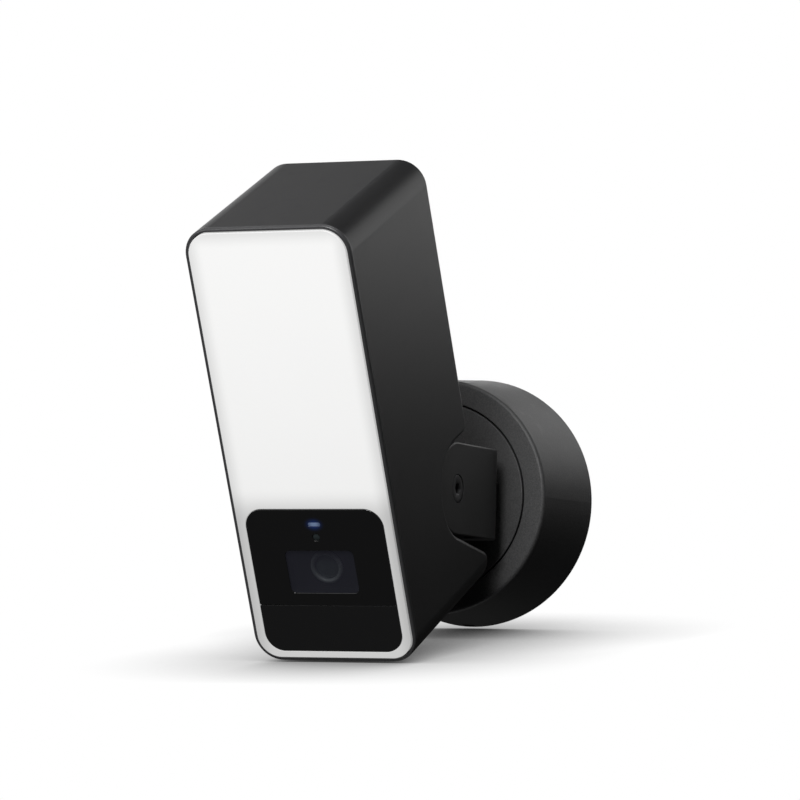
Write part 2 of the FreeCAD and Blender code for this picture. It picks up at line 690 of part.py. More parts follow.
def make_front_frame():
    """Slim frame round the front: a lip with a rounded outer edge, and a skirt in the sleeve's rebate."""
    made = tilted(piece("front_frame"))
    front, back = head_front + dim.frame_front, head_front + dim.frame_back
    run(made, "XZ", [front_outline(0), front_outline(dim.frame_t)], front, back)
    at_front, half = lies_at("Y", front), dim.head_w.number / 2
    low, high = head_low.number, (head_low + dim.head_h).number

    def on_outline(edge):
        limits = edge.BoundBox
        aside = max(limits.XMax, -limits.XMin) > half - 0.1
        return at_front(edge) and (aside or limits.ZMin < low + 0.1 or limits.ZMax > high - 0.1)

    round_edges(made, dim.frame_r, on_outline)
    skirt = [front_outline(dim.rim_t + 0.05), front_outline(dim.frame_t)]
    run(made, "XZ", skirt, back, head_front + dim.rebate_d - 0.1)


def make_diffuser():
    """Opal front plate round the camera panel, and the seal that it sits on."""
    made = tilted(piece("diffuser"))
    half = panel_half(dim.seam)
    low, high = head_low + dim.panel_low - dim.seam, head_low + dim.panel_high + dim.seam
    window = box(-half, half, low, high, dim.panel_r + dim.seam)
    back = head_front + dim.diffuser_t
    run(made, "XZ", [front_outline(diffuser_inset), window], head_front, back)
    made = tilted(piece("front_seal"))
    run(made, "XZ", [front_outline(diffuser_inset), front_outline(dim.sleeve_t)], back,
        head_front + dim.rebate_d)


def lens_opening(spare=0):
    """The lens window's outline, with some spare round it."""
    half_w, half_h = dim.window_w / 2 + spare, dim.window_h / 2 + spare
    middle = head_low + dim.lens_up
    return box(-half_w, half_w, middle - half_h, middle + half_h, 2.4)


def light_slot(spare=0):
    """The status light's outline, with some spare round it."""
    half_w, half_h = dim.light_w / 2 + spare, dim.light_h / 2 + spare
    middle = head_low + dim.light_up
    return box(-half_w, half_w, middle - half_h, middle + half_h, half_h - 0.05)


def make_camera_panel():
    """Black glass with its openings, the clear lens window and the lower cover of the motion sensor."""
    made = tilted(piece("panel_glass"))
    front = panel_front
    half = panel_half()
    split = head_low + dim.panel_split
    outline = box(-half, half, split + 0.12, head_low + dim.panel_high, 0.6, dim.panel_r)
    dot = circle(0, head_low + dim.sensor_up, dim.sensor_r)
    run(made, "XZ", [outline, lens_opening(), light_slot(), dot], front, panel_back)
    round_edges(made, 0.25, lies_at("Y", front))
    made = tilted(piece("lens_window"))
    run(made, "XZ", [lens_opening(-0.08)], front + 0.15, front + 1.4)
    made = tilted(piece("sensor_cover"))
    outline = box(-half, half, head_low + dim.panel_low, split - 0.12, dim.panel_r, 0.6)
    run(made, "XZ", [outline], front + 0.1, panel_back)
    round_edges(made, 0.25, lies_at("Y", front + 0.1))


def make_camera_tub():
    """Box behind the camera panel that holds the lens and the sensors."""
    made = tilted(piece("camera_tub"))
    half = panel_half()
    low, high = head_low + dim.panel_low, head_low + dim.panel_high
    front, back = panel_back, chassis_front
    run(made, "XZ", [box(-half, half, low, high, dim.panel_r)], front, back)
    inner = box(1.5 - half, half - 1.5, low + 1.5, high - 1.5, dim.panel_r - 1.5)
    run(made, "XZ", [inner], front - 1, back - 1.5, cut=True)


def make_lens():
    """Lens pocket behind the window, lens barrel, front element, image sensor and its board."""
    middle = head_low + dim.lens_up
    front = panel_back
    made = tilted(piece("lens_mask"))
    run(made, "XZ", [lens_opening(2), lens_opening(-0.4)], front, front + 3.6)
    run(made, "XZ", [lens_opening(2), circle(0, middle, dim.lens_r + 0.1)], front + 3.6, front + 5)
    barrel_back = front + 16
    made = tilted(piece("lens_barrel"))
    shoulder = front + 5.2
    bore = circle(0, middle, dim.lens_r - 2)
    run(made, "XZ", [circle(0, middle, dim.lens_r), bore], front + 2.6, shoulder)
    run(made, "XZ", [circle(0, middle, dim.lens_r + 1), bore], shoulder, barrel_back)
    made = tilted(piece("lens_glass"))
    run(made, "XZ", [bore], front + 3.2, shoulder)
    block_in_head("image_sensor_board", -12, 12, middle - 10, middle + 10, barrel_back, barrel_back + 1.2)
    block_in_head("image_sensor", -4, 4, middle - 3.5, middle + 3.5, barrel_back - 1.2, barrel_back)


def block_in_head(label, *limits):
    """A plain block drawn in the head's frame."""
    return tilted(block(label, *limits))


def make_indicators():
    """Status light pipe with its light, the ambient light pipe and their board."""
    front = head_front
    board_front = head_front + 9
    made = tilted(piece("status_light_pipe"))
    run(made, "XZ", [light_slot(-0.06)], front, board_front - 1)
    made = tilted(piece("light_sensor_pipe"))
    run(made, "XZ", [circle(0, head_low + dim.sensor_up, dim.sensor_r - 0.06)], front, board_front)
    middle = head_low + dim.light_up
    block_in_head("status_light", -1.5, 1.5, middle - 0.8, middle + 0.8, board_front - 1, board_front)
    low, high = head_low + dim.sensor_up - 3.5, head_low + dim.light_up + 4
    block_in_head("indicator_board", -14, 14, low, high, board_front, board_front + 1.2)


def make_motion_sensor():
    """Motion sensor in its can behind the lower cover, on a board of its own."""
    middle = head_low + (dim.panel_low + dim.panel_split) / 2
    board_front = head_front + 18
    made = tilted(piece("motion_sensor"))
    run(made, "XZ", [circle(0, middle, 4.2)], board_front - 4.5, board_front)
    block_in_head("motion_sensor_board", -14, 14, middle - 8, middle + 8, board_front, board_front + 1.2)


# ---- the head's inside ----


def make_chassis():
    """Plate across the head that carries the light and the camera, with its four screws."""
    made = tilted(piece("chassis_plate"))
    run(made, "XZ", [front_outline(dim.sleeve_t + 0.2)], chassis_front, chassis_rear)
    holes = [circle(a, u, dim.screw_r + 0.3) for a, u in chassis_places()]
    run(made, "XZ", holes, chassis_front - 1, chassis_rear + 1, cut=True)
    tilted(screws("chassis_screws", "XZ", chassis_places(), dim.screw_r, dim.screw_cap_r, chassis_front - 2,
                  chassis_front, chassis_rear + 8))


def make_light():
    """White tray, the light board with its rows of light chips, and the heat sink behind the chassis."""
    low, high = head_low + dim.panel_high + 0.6, head_low + dim.head_h - dim.sleeve_t - 0.5
    half = dim.head_w / 2 - dim.sleeve_t - 0.3
    tray_front = head_front + 3.1
    made = tilted(piece("light_tray"))
    run(made, "XZ", [box(-half, half, low, high, 2, 8.5)], tray_front, chassis_front - 2.2)
    inner = box(1.2 - half, half - 1.2, low + 1.2, high - 1.2, 1, 7.3)
    run(made, "XZ", [inner], tray_front - 1, chassis_front - 3.4, cut=True)
    floor = chassis_front - 3.4
    block_in_head("light_board", -30, 30, low + 5, high - 5, floor - dim.board_t, floor)
    made = tilted(piece("light_chips"))
    rows = row_of(8, 14, (low + high) / 2)
    chips = [box(a - 1.5, a + 1.5, u - 1.5, u + 1.5) for a in row_of(4, 14) for u in rows]
    run(made, "XZ", chips, floor - dim.board_t - 0.8, floor - dim.board_t)
    made = tilted(piece("heat_sink"))
    run(made, "XZ", [box(-25, 25, head_low + 82, head_low + 188, 1)], chassis_rear, chassis_rear + 3)
    for across in row_of(9, 6):
        run(made, "XZ", [box(across - 0.9, across + 0.9, head_low + 82, head_low + 188)], chassis_rear + 3,
            chassis_rear + 20)


def make_boards():
    """Light driver board and its parts, and the camera's main board with its radio module."""
    low, high = head_low + 104, head_low + 178
    block_in_head("light_driver_board", -27, 27, low, high, driver_back - dim.board_t, driver_back)
    made = tilted(piece("driver_parts"))
    loops = [circle(-14, low + 18, 5), circle(-14, low + 32, 5), box(4, 18, low + 14, low + 30)]
    run(made, "XZ", loops, driver_back - dim.board_t - 8, driver_back - dim.board_t)
    board_front = chassis_rear + 3
    block_in_head("main_board", -28, 28, head_low + 16, head_low + 68, board_front, board_front + dim.board_t)
    made = tilted(piece("main_board_spacers"))
    places = [(a, u) for u in (head_low + 20, head_low + 64) for a in row_of(2, 48)]
    run(made, "XZ", [circle(a, u, 2.5) for a, u in places], chassis_rear, board_front)
    back = board_front + dim.board_t
    block_in_head("radio_module", -22, -4, head_low + 20, head_low + 38, back, back + 2.4)


def make_speaker():
    """Loudspeaker over the grille holes in the head's underside."""
    made = tilted(piece("speaker"))
    floor = head_low + dim.sleeve_t
    run(made, "XY", [circle(0, speaker_y, 11.5)], floor + 1, floor + 5)
    run(made, "XY", [circle(0, speaker_y, 7)], floor + 5, floor + 9)
    made = tilted(piece("speaker_seal"))
    run(made, "XY", [circle(0, speaker_y, 11.5), circle(0, speaker_y, 9.8)], floor, floor + 1)


def make_reset_button():
    """Button in the head's underside with its collar, and the board with the switch that it presses."""
    floor = head_low + dim.sleeve_t
    made = tilted(piece("reset_button"))
    run(made, "XY", [circle(0, dim.button_y, dim.button_r)], head_low + 0.2, floor + 1.6)
    run(made, "XY", [circle(0, dim.button_y, dim.button_r + 1.1)], floor + 0.1, floor + 1.1)
    made = tilted(piece("button_switch"))
    run(made, "XY", [circle(0, dim.button_y, 1.6)], floor + 2.6, floor + 3.6)
    run(made, "XY", [box(-3, 3, dim.button_y - 3, dim.button_y + 3)], floor + 3.6, floor + 6)
    made = tilted(piece("button_board"))
    run(made, "XY", [box(-16, 16, dim.button_y - 6, dim.button_y + 6)], floor + 6, floor + 7.2)
    made = tilted(piece("microphone"))
    run(made, "XY", [circle(12, dim.button_y, 2.5)], floor + 4.5, floor + 6)


# ---- checking and writing ----


def check_document():
    """Stops the script if any object failed or any piece isn't a valid solid."""
    failed = [item.Name for item in doc.Objects if {"Invalid", "Error"} & set(item.State)]
    for label, made in pieces.items():
        shape = made.Shape
        if shape.isNull() or not shape.isValid() or not shape.Solids:
            failed.append(label)
    if failed:
        raise ValueError(f"These did not build: {failed}")


def write_pieces():
    """Writes each piece to its own file in the row frame."""
    os.makedirs("parts", exist_ok=True)
    for label, made in pieces.items():
        made.Shape.exportStep(f"parts/{label}.step")


make_wall_bracket()
make_wall_gasket()
make_base_housing()
make_bearing_plate()
make_base_fasteners()
make_cable_grommet()
make_power_unit()
make_turntable_disc()
make_turntable_retainers()
make_hinge_arm()
make_tilt_screw()
make_head_housing()
make_hinge_knuckle()
make_tilt_bearings()
make_front_frame()
make_diffuser()
make_camera_panel()
make_camera_tub()
make_lens()
make_indicators()
make_motion_sensor()
make_chassis()
make_light()
make_boards()
make_speaker()
make_reset_button()
doc.recompute()
check_document()
write_pieces()
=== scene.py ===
"""Looks of the wall-mounted floodlight camera: finishes, and fine pieces of its front, hinge and base."""

import json
import math

import bmesh
import bpy
import numpy as np
from bpy.props import FloatProperty, FloatVectorProperty, IntProperty, PointerProperty
from bpy.types import Operator, Panel, PropertyGroup
from mathutils import Matrix, Vector


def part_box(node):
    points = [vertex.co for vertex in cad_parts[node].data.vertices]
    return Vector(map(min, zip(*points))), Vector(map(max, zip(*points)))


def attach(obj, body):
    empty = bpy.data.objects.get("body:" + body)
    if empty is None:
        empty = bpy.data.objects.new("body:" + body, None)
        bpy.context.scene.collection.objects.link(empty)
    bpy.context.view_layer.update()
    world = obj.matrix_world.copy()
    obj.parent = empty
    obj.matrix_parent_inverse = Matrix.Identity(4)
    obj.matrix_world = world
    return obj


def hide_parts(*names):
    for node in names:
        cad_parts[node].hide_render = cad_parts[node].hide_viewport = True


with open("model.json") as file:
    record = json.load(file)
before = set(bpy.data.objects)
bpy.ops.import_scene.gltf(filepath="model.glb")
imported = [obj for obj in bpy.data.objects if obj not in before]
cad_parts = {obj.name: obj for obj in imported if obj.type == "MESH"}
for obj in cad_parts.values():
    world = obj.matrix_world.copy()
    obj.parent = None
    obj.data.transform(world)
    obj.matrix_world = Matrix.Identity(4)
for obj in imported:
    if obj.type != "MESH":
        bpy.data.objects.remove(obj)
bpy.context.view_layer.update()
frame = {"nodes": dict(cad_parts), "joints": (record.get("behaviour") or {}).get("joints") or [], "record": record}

bl_info = {
    "name": "Floodlight Camera Looks",
    "version": (1, 0, 0),
    "blender": (4, 5, 0),
    "location": "View3D > Sidebar > Floodlight",
    "description": "Finishes and fine pieces of a wall-mounted floodlight camera",
    "category": "Object",
}

MM = 0.001

# The head's own frame: its origin is on the tilt joint, and its Z runs up the head, as the button's travel.
TILT_JOINT = next(joint for joint in frame["joints"] if joint["name"] == "head_tilt")
PRESS_JOINT = next(joint for joint in frame["joints"] if joint["name"] == "reset_press")
PIVOT = Vector(TILT_JOINT["pos_m"])
HEAD_TILT = math.atan2(-PRESS_JOINT["axis"][1], PRESS_JOINT["axis"][2])
HEAD_FRAME = Matrix.Translation(PIVOT) @ Matrix.Rotation(HEAD_TILT, 4, "X")


def head_limits(node):
    """Lowest and highest corner of a node in the head's own frame, in metres."""
    mesh = frame["nodes"][node].data
    points = np.empty(len(mesh.vertices) * 3)
    mesh.vertices.foreach_get("co", points)
    points = points.reshape(-1, 3)
    back = np.array(HEAD_FRAME.inverted())
    points = points @ back[:3, :3].T + back[:3, 3]
    return points.min(0), points.max(0)


# ---- sizes and colours that a user may change ----


def length(name, description, default):
    """A length property, in metres."""
    return FloatProperty(name=name, description=description, default=default, min=0.0, unit="LENGTH",
                         precision=5)


def colour(name, description, default):
    """A colour property."""
    return FloatVectorProperty(name=name, description=description, default=default, size=3, min=0.0, max=1.0,
                               subtype="COLOR")


class FinishSettings(PropertyGroup):
    """Colours and grain of the finishes."""

    head: colour("Head", "Satin black of the head's shell", (0.0165, 0.0165, 0.0172))
    base: colour("Base", "Grained black of the base", (0.0360, 0.0360, 0.0365))
    disc: colour("Turntable", "Grained black of the turntable", (0.0530, 0.0530, 0.0535))
    arm: colour("Arm", "Powder coat of the arm and the knuckle", (0.0220, 0.0220, 0.0226))
    panel: colour("Panel", "Black behind the glass of the camera panel", (0.0102, 0.0102, 0.0104))
    cover: colour("Sensor cover", "Smooth black of the motion sensor cover", (0.0128, 0.0128, 0.0131))
    opal: colour("Opal", "White of the diffuser", (0.90, 0.90, 0.895))
    light: colour("Status light", "Blue of the status light", (0.03, 0.16, 0.85))
    # Painted light: how much paler the base's front ring is painted than its side, standing in for the light that
    # falls on that front face.
    ring_painted_light: FloatProperty(name="Ring painted light", default=0.62, min=0.0,
                            description="How much paler the base's front ring is than its side")
    grain: length("Grain", "Size of one grain of the moulded texture", 0.0005)
    smooth_grain: length("Smooth grain", "Size of one grain of the satin shell", 0.00022)


class FrontSettings(PropertyGroup):
    """Sizes of the fine pieces on the head's front."""

    head_corner: length("Head corner", "Radius of the head's four long edges", 0.012)
    panel_corner: length("Panel corner", "Radius of the camera panel's corners", 0.0084)
    seam: length("Seam", "Gap between the camera panel and the diffuser", 0.00015)
    edge: length("Edge", "Rounding of the diffuser's edges", 0.00025)
    crown: length("Crown", "Height of the diffuser's crown at its middle", 0.00005)
    cover_edge: length("Cover edge", "Rounding of the sensor cover's edge", 0.00006)
    steps: IntProperty(name="Arc steps", description="Steps in each rounded corner", default=24, min=4)


class LensSettings(PropertyGroup):
    """Sizes of the lens."""

    dome: length("Dome", "Height of the front element's dome", 0.0011)
    iris_radius: length("Iris radius", "Radius of the opening behind the front element", 0.0019)
    ring_steps: IntProperty(name="Ring steps", description="Steps round the lens", default=128, min=16)


class StageSettings(PropertyGroup):
    """Camera, floor and lights."""

    azimuth: FloatProperty(name="Azimuth", description="Camera's turn about the object",
                           default=math.radians(23.743), subtype="ANGLE")
    elevation: FloatProperty(name="Elevation", description="Camera's height as an angle",
                             default=math.radians(-4.528), subtype="ANGLE")
    roll: FloatProperty(name="Roll", description="Camera's turn about its own axis",
                        default=math.radians(1.31), subtype="ANGLE")
    distance: FloatProperty(name="Distance", description="Camera's distance", default=2.0747, unit="LENGTH")
    aside: FloatProperty(name="Aside", description="Camera's move to its own right", default=-0.03571,
                         unit="LENGTH")
    raised: FloatProperty(name="Raised", description="Camera's move along its own up", default=0.04785,
                          unit="LENGTH")
    lens: FloatProperty(name="Lens", description="Focal length in millimetres", default=202.08)
    fill: FloatProperty(name="Fill", description="Strength of the even fill", default=0.015, min=0.0)
    shadow_reach: length("Shadow reach", "How far the object's soft shadow reaches over the floor", 0.08)
    shadow_depth: FloatProperty(name="Shadow depth", description="Strength of the object's soft shadow",
                                default=1.15, min=0.0)
    floor_reach: length("Floor reach", "How far the floor reaches to each side and to the front", 0.8)
    floor_behind: length("Floor behind", "How far the floor reaches behind the wall's plane", 0.16)


# ---- meshes ----

FINISHES = {}           # the material of each slot, made by the first operator
EDGE_ROWS = 7           # rows over a rounded edge
FRONT_ROWS = 24         # rows across the diffuser's front, between its edges
PLATE_ROWS = 15         # rows from a plate's front edge to its middle
CAP_SHARE = 0.02        # size of the face that closes a plate's middle, as a share of the plate
SAME_POINT = 1e-6       # points nearer than this, in metres, are one point
BASE_AXIS = (0.0, 0.0)  # where the turntable's axis crosses the wall, across and up


def make_piece(name, points, faces, body, slot):
    """A mesh piece from arrays of points and faces, smooth-shaded, on a body and in its slot's finish."""
    mesh = bpy.data.meshes.new(name)
    mesh.from_pydata(points.tolist(), [], faces)
    mesh.shade_smooth()
    mesh.materials.append(FINISHES[slot])
    piece = bpy.data.objects.new(name, mesh)
    bpy.context.scene.collection.objects.link(piece)
    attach(piece, body)
    return piece


def grid_faces(rows, columns, close_rows=False):
    """Quads of a grid whose columns close round; close_rows also joins the last row to the first."""
    row = np.arange(rows if close_rows else rows - 1)[:, None]
    column = np.arange(columns)[None, :]
    after = (column + 1) % columns
    above = (row + 1) % rows
    quads = np.stack([row * columns + column, row * columns + after, above * columns + after,
                      above * columns + column], axis=-1)
    return quads.reshape(-1, 4).tolist()


def rounded_outline(half, low, high, low_r, high_r, steps):
    """Outline of a rectangle as (n, 2) points: four quarter arcs, centre + r * (cos a, sin a), whose ends
    the straight sides join. The two lower corners have the radius low_r and the two upper ones high_r."""
    turn = np.linspace(0.0, math.pi / 2, steps + 1)
    corners = ((half, low, low_r), (half, high, high_r), (-half, high, high_r), (-half, low, low_r))
    inward = ((-1, 1), (-1, -1), (1, -1), (1, 1))
    arcs = []
    for k, ((across, up, radius), (step_x, step_y)) in enumerate(zip(corners, inward)):
        angle = turn + math.pi / 2 * (k - 1)
        arcs.append(np.stack([across + step_x * radius + radius * np.cos(angle),
                              up + step_y * radius + radius * np.sin(angle)], axis=1))
    return np.concatenate(arcs)


def in_head(points):
    """Points of the head's own frame, moved into the row frame."""
    move = np.array(HEAD_FRAME)
    return points @ move[:3, :3].T + move[:3, 3]


def loft(loops, depths):
    """Rows of (n, 2) outlines at given depths: a surface whose u runs round the outline and v row by row."""
    rows = [np.stack([loop[:, 0], np.full(len(loop), depth), loop[:, 1]], axis=1)
            for loop, depth in zip(loops, depths)]
    return np.concatenate(rows)


def lathe(profile, centre, steps):
    """Turns a profile of (radius, along) rows about an axis along the head's depth through centre
    (across, up): x = across + r * cos(a), z = up + r * sin(a)."""
    angle = np.linspace(0.0, 2 * math.pi, steps, endpoint=False)
    radius, along = profile[:, :1], profile[:, 1:]
    across = centre[0] + radius * np.cos(angle)
    up = centre[1] + radius * np.sin(angle)
    depth = np.broadcast_to(along, across.shape)
    return np.stack([across, depth, up], axis=-1).reshape(-1, 3)


# ---- materials ----

BLACK = (0.0, 0.0, 0.0, 1.0)
WHITE = (1.0, 1.0, 1.0, 1.0)
MEAN = 0.5                # the middle of a noise's values
SOFT = (0.3, 0.7)         # the limits between which a cloudy noise turns from one tint to the other
GRAIN_DEPTH = 0.07 * MM   # depth of the moulded texture
MIX_SOCKETS = (0, 6, 7)   # a Mix node's amount and its two colours
MIXED = 2                 # a Mix node's mixed colour


class Field:
    """A shader value that varies over a surface; arithmetic on it adds Math nodes."""

    def __init__(self, finish, socket):
        self.finish = finish
        self.socket = socket

    def math(self, operation, *others):
        """The result of a Math node on this value and others."""
        values = {index + 1: other for index, other in enumerate(others)}
        return self.finish.add("ShaderNodeMath", {"operation": operation}, {0: self, **values})

    def __add__(self, other):
        return self.math("ADD", other)

    def __sub__(self, other):
        return self.math("SUBTRACT", other)

    def __mul__(self, other):
        return self.math("MULTIPLY", other)

    def __truediv__(self, other):
        return self.math("DIVIDE", other)

    def __pow__(self, other):
        return self.math("POWER", other)

    __radd__ = __add__
    __rmul__ = __mul__

    def __rsub__(self, other):
        return self.finish.add("ShaderNodeMath", {"operation": "SUBTRACT"}, {0: other, 1: self})

    def between(self, low, high):
        """0 below low, 1 above high and smooth between them."""
        return self.finish.add("ShaderNodeMapRange", {"interpolation_type": "SMOOTHSTEP"},
                               {"Value": self, "From Min": low, "From Max": high})

    def distance(self):
        """The value without its sign."""
        return self.math("ABSOLUTE")


class Finish:
    """A material under construction."""

    def __init__(self, name):
        self.material = bpy.data.materials.new(name)
        self.material.use_nodes = True
        self.tree = self.material.node_tree
        self.shader = self.tree.nodes["Principled BSDF"]
        self.place = self.add("ShaderNodeTexCoord", output="Object")

    def add(self, kind, settings=None, inputs=None, output=0):
        """Adds a node: its settings first, then the values or links of its sockets. Gives one output."""
        node = self.tree.nodes.new(kind)
        for name, value in (settings or {}).items():
            setattr(node, name, value)
        for name, value in (inputs or {}).items():
            self.set(node.inputs[name], value)
        return Field(self, node.outputs[output])

    def set(self, socket, value):
        """Links a field to a socket, or writes a plain value on it."""
        if isinstance(value, Field):
            self.tree.links.new(value.socket, socket)
        else:
            socket.default_value = value

    def surface(self, **inputs):
        """Sets sockets of the shader by name, with underscores for spaces."""
        for name, value in inputs.items():
            self.set(self.shader.inputs[name.replace("_", " ")], value)

    def noise(self, size, detail=3.0, rough=0.5, place=None):
        """Noise whose grains are about size metres across."""
        return self.add("ShaderNodeTexNoise", {"noise_dimensions": "3D"},
                        {"Vector": place or self.place, "Scale": 1.0 / size, "Detail": detail,
                         "Roughness": rough})

    def cells(self, size):
        """Distance to the nearest of scattered points about size metres apart."""
        return self.add("ShaderNodeTexVoronoi", {"feature": "F1"},
                        {"Vector": self.place, "Scale": 1.0 / size})

    def axis(self, vector, index):
        """One component of a vector."""
        return self.add("ShaderNodeSeparateXYZ", None, {"Vector": vector}, output=index)

    def head_place(self):
        """The place in the head's own frame: moved to the tilt axis and turned upright."""
        moved = self.add("ShaderNodeVectorMath", {"operation": "SUBTRACT"},
                         {0: self.place, 1: tuple(PIVOT)})
        return self.add("ShaderNodeVectorRotate", {"rotation_type": "X_AXIS"},
                        {"Vector": moved, "Angle": -HEAD_TILT})

    def blend(self, amount, first, second):
        """Mixes two colours by an amount from 0 to 1."""
        node = self.tree.nodes.new("ShaderNodeMix")
        node.data_type = "RGBA"
        for index, value in zip(MIX_SOCKETS, (amount, first, second)):
            self.set(node.inputs[index], value)
        return Field(self, node.outputs[MIXED])

    def scaled(self, colour, amount):
        """A colour made lighter or darker by a field."""
        return self.add("ShaderNodeVectorMath", {"operation": "SCALE"}, {0: colour, "Scale": amount})

    def bump(self, height, strength, depth):
        """Bump from a height field of the given depth in metres."""
        return self.add("ShaderNodeBump", None, {"Height": height, "Strength": strength, "Distance": depth})


def rgba(colour, scale=1.0):
    """A colour with full alpha, made lighter or darker by scale."""
    return tuple(min(1.0, channel * scale) for channel in colour) + (1.0,)


def moulded(name, tint, grain, rough, depth, wear=0.10, speckle=0.5):
    """Moulded plastic: fine grain and pits, pale specks, faint clouds, and rubbed spots that are smoother.
    Wear is how far the clouds stray from the tint, and speckle is the strength of the specks."""
    finish = Finish(name)
    fine = finish.noise(grain, detail=4.0, rough=0.6)
    pits = finish.cells(grain * 1.6)
    cloud = finish.noise(35 * MM, detail=3.0)
    rub = finish.noise(6 * MM, detail=5.0, rough=0.65).between(0.56, 0.72)
    shade = finish.blend(cloud.between(*SOFT), rgba(tint, 1.0 - wear), rgba(tint, 1.0 + wear))
    specked = finish.blend(fine.between(0.35, 0.65) * speckle, shade, rgba(tint, 1.8))
    finish.surface(Base_Color=specked,
                   Roughness=rough + (fine - MEAN) * 0.10 + (cloud - MEAN) * 0.08 - rub * 0.05,
                   Normal=finish.bump(fine * 0.6 + pits * 0.4, 1.0, depth))
    return finish


def base_grained(settings):
    """The base's grained moulding, whose front ring is painted a little paler than its side: painted light
    standing in for the light that falls on that front face.
    """
    finish = moulded("grained black base", settings.base, settings.grain, 0.52, GRAIN_DEPTH, speckle=0.7)
    front = float(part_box("base_housing")[0][1])
    # Painted light: the front ring's colour is lifted paler than the side's.
    ring = 1.0 - finish.axis(finish.place, 1).between(front + 0.2 * MM, front + 1.4 * MM)
    shade = Field(finish, finish.shader.inputs["Base Color"].links[0].from_socket)
    finish.surface(Base_Color=finish.scaled(shade, 1.0 + ring * settings.ring_painted_light))
    return finish


def satin_head(settings):
    """Satin shell of the head: very fine grain, faint flow marks drawn out along its depth, and a slightly
    polished lip whose colour is painted paler, a painted highlight on its rounded edge. The front frame lies
    before the lip's end, so it is lip all over, painted highlight included."""
    tint = settings.head
    finish = Finish("satin black shell")
    place = finish.head_place()
    front = float(head_limits("head_housing")[0][1])
    drawn_out = finish.add("ShaderNodeMapping", None, {"Vector": place, "Scale": (1.0, 0.35, 1.0)})
    flow = finish.noise(30 * MM, detail=3.0, place=drawn_out)
    fine = finish.noise(settings.smooth_grain, detail=4.0, rough=0.6)
    lip = 1.0 - finish.axis(place, 1).between(front + 0.3 * MM, front + 1.2 * MM)
    smear = finish.noise(11 * MM, detail=5.0, rough=0.6).between(0.55, 0.75)
    shade = finish.blend(flow.between(*SOFT), rgba(tint, 0.93), rgba(tint, 1.07))
    shade = finish.blend(fine.between(0.4, 0.75) * 0.35, shade, rgba(tint, 1.5))
    # Painted highlight: the lip's colour is blended towards a tint 3.6 times paler, standing in for light on its
    # rounded edge.
    shade = finish.blend(lip * 0.9, shade, rgba(tint, 3.6))
    rough = 0.42 + (fine - MEAN) * 0.08 + (flow - MEAN) * 0.06 - lip * 0.10 + smear * 0.02
    finish.surface(Base_Color=shade, Roughness=rough, Normal=finish.bump(fine, 0.6, 0.01 * MM),
                   Specular_IOR_Level=0.42)
    return finish


def coated(name, tint):
    """Powder coat: soft orange peel with a fine pale grain."""
    finish = Finish(name)
    peel = finish.noise(1.1 * MM, detail=2.0)
    fine = finish.noise(0.25 * MM, detail=3.0)
    cloud = finish.noise(20 * MM, detail=3.0)
    shade = finish.blend(cloud.between(*SOFT), rgba(tint, 0.9), rgba(tint, 1.1))
    shade = finish.blend(fine.between(0.45, 0.8) * 0.4, shade, rgba(tint, 1.7))
    finish.surface(Base_Color=shade, Roughness=0.45 + (fine - MEAN) * 0.12 + (cloud - MEAN) * 0.06,
                   Normal=finish.bump(peel * 0.7 + fine * 0.3, 0.7, 0.03 * MM))
    return finish


def polished(name, tint, rough, smudge):
    """Polished black: near mirror, with faint finger smudges and dust that lift its roughness."""
    finish = Finish(name)
    film = finish.noise(13 * MM, detail=4.0, rough=0.6).between(0.42, 0.78)
    dust = 1.0 - finish.cells(1.6 * MM).between(0.02, 0.07)
    ripple = finish.noise(20 * MM, detail=2.0)
    finish.surface(Base_Color=finish.blend(dust * 0.10, rgba(tint), rgba(tint, 3.0)),
                   Roughness=rough + film * smudge + dust * 0.05, Normal=finish.bump(ripple, 0.05, 0.1 * MM))
    return finish


def metal(name, tint, rough, stroke, stained=0.0, bare=1.0):
    """Metal with drawn strokes along X and a few darker stains. A plated, dyed or oxidised skin leaves only
    the share bare of its metallic shine."""
    finish = Finish(name)
    drawn = finish.add("ShaderNodeMapping", None, {"Vector": finish.place, "Scale": (0.06, 1.0, 1.0)})
    lines = finish.noise(stroke, detail=4.0, rough=0.7, place=drawn)
    stain = finish.noise(7 * MM, detail=4.0).between(0.5, 0.8)
    shade = finish.blend(lines.between(*SOFT), rgba(tint, 0.85), rgba(tint, 1.08))
    shade = finish.blend(stain * stained, shade, rgba(tint, 0.55))
    finish.surface(Base_Color=shade, Metallic=bare, Roughness=rough + (lines - MEAN) * 0.18 + stain * 0.08,
                   Normal=finish.bump(lines, 0.4, 0.01 * MM))
    return finish


def rubbery(name, tint, rough=0.75, pores=0.0):
    """Rubber or foam: soft bloom, fine roughness, and open pores where it is foam."""
    finish = Finish(name)
    bloom = finish.noise(4 * MM, detail=4.0)
    fine = finish.noise(0.3 * MM, detail=3.0)
    holes = finish.cells(0.8 * MM)
    shade = finish.blend(bloom.between(0.4, 0.75), rgba(tint), rgba(tint, 1.9))
    relief = finish.bump(fine * (1.0 - pores) + holes * pores, 0.6, (0.05 + pores * 0.2) * MM)
    finish.surface(Base_Color=shade, Roughness=rough + (fine - MEAN) * 0.15, Normal=relief)
    return finish


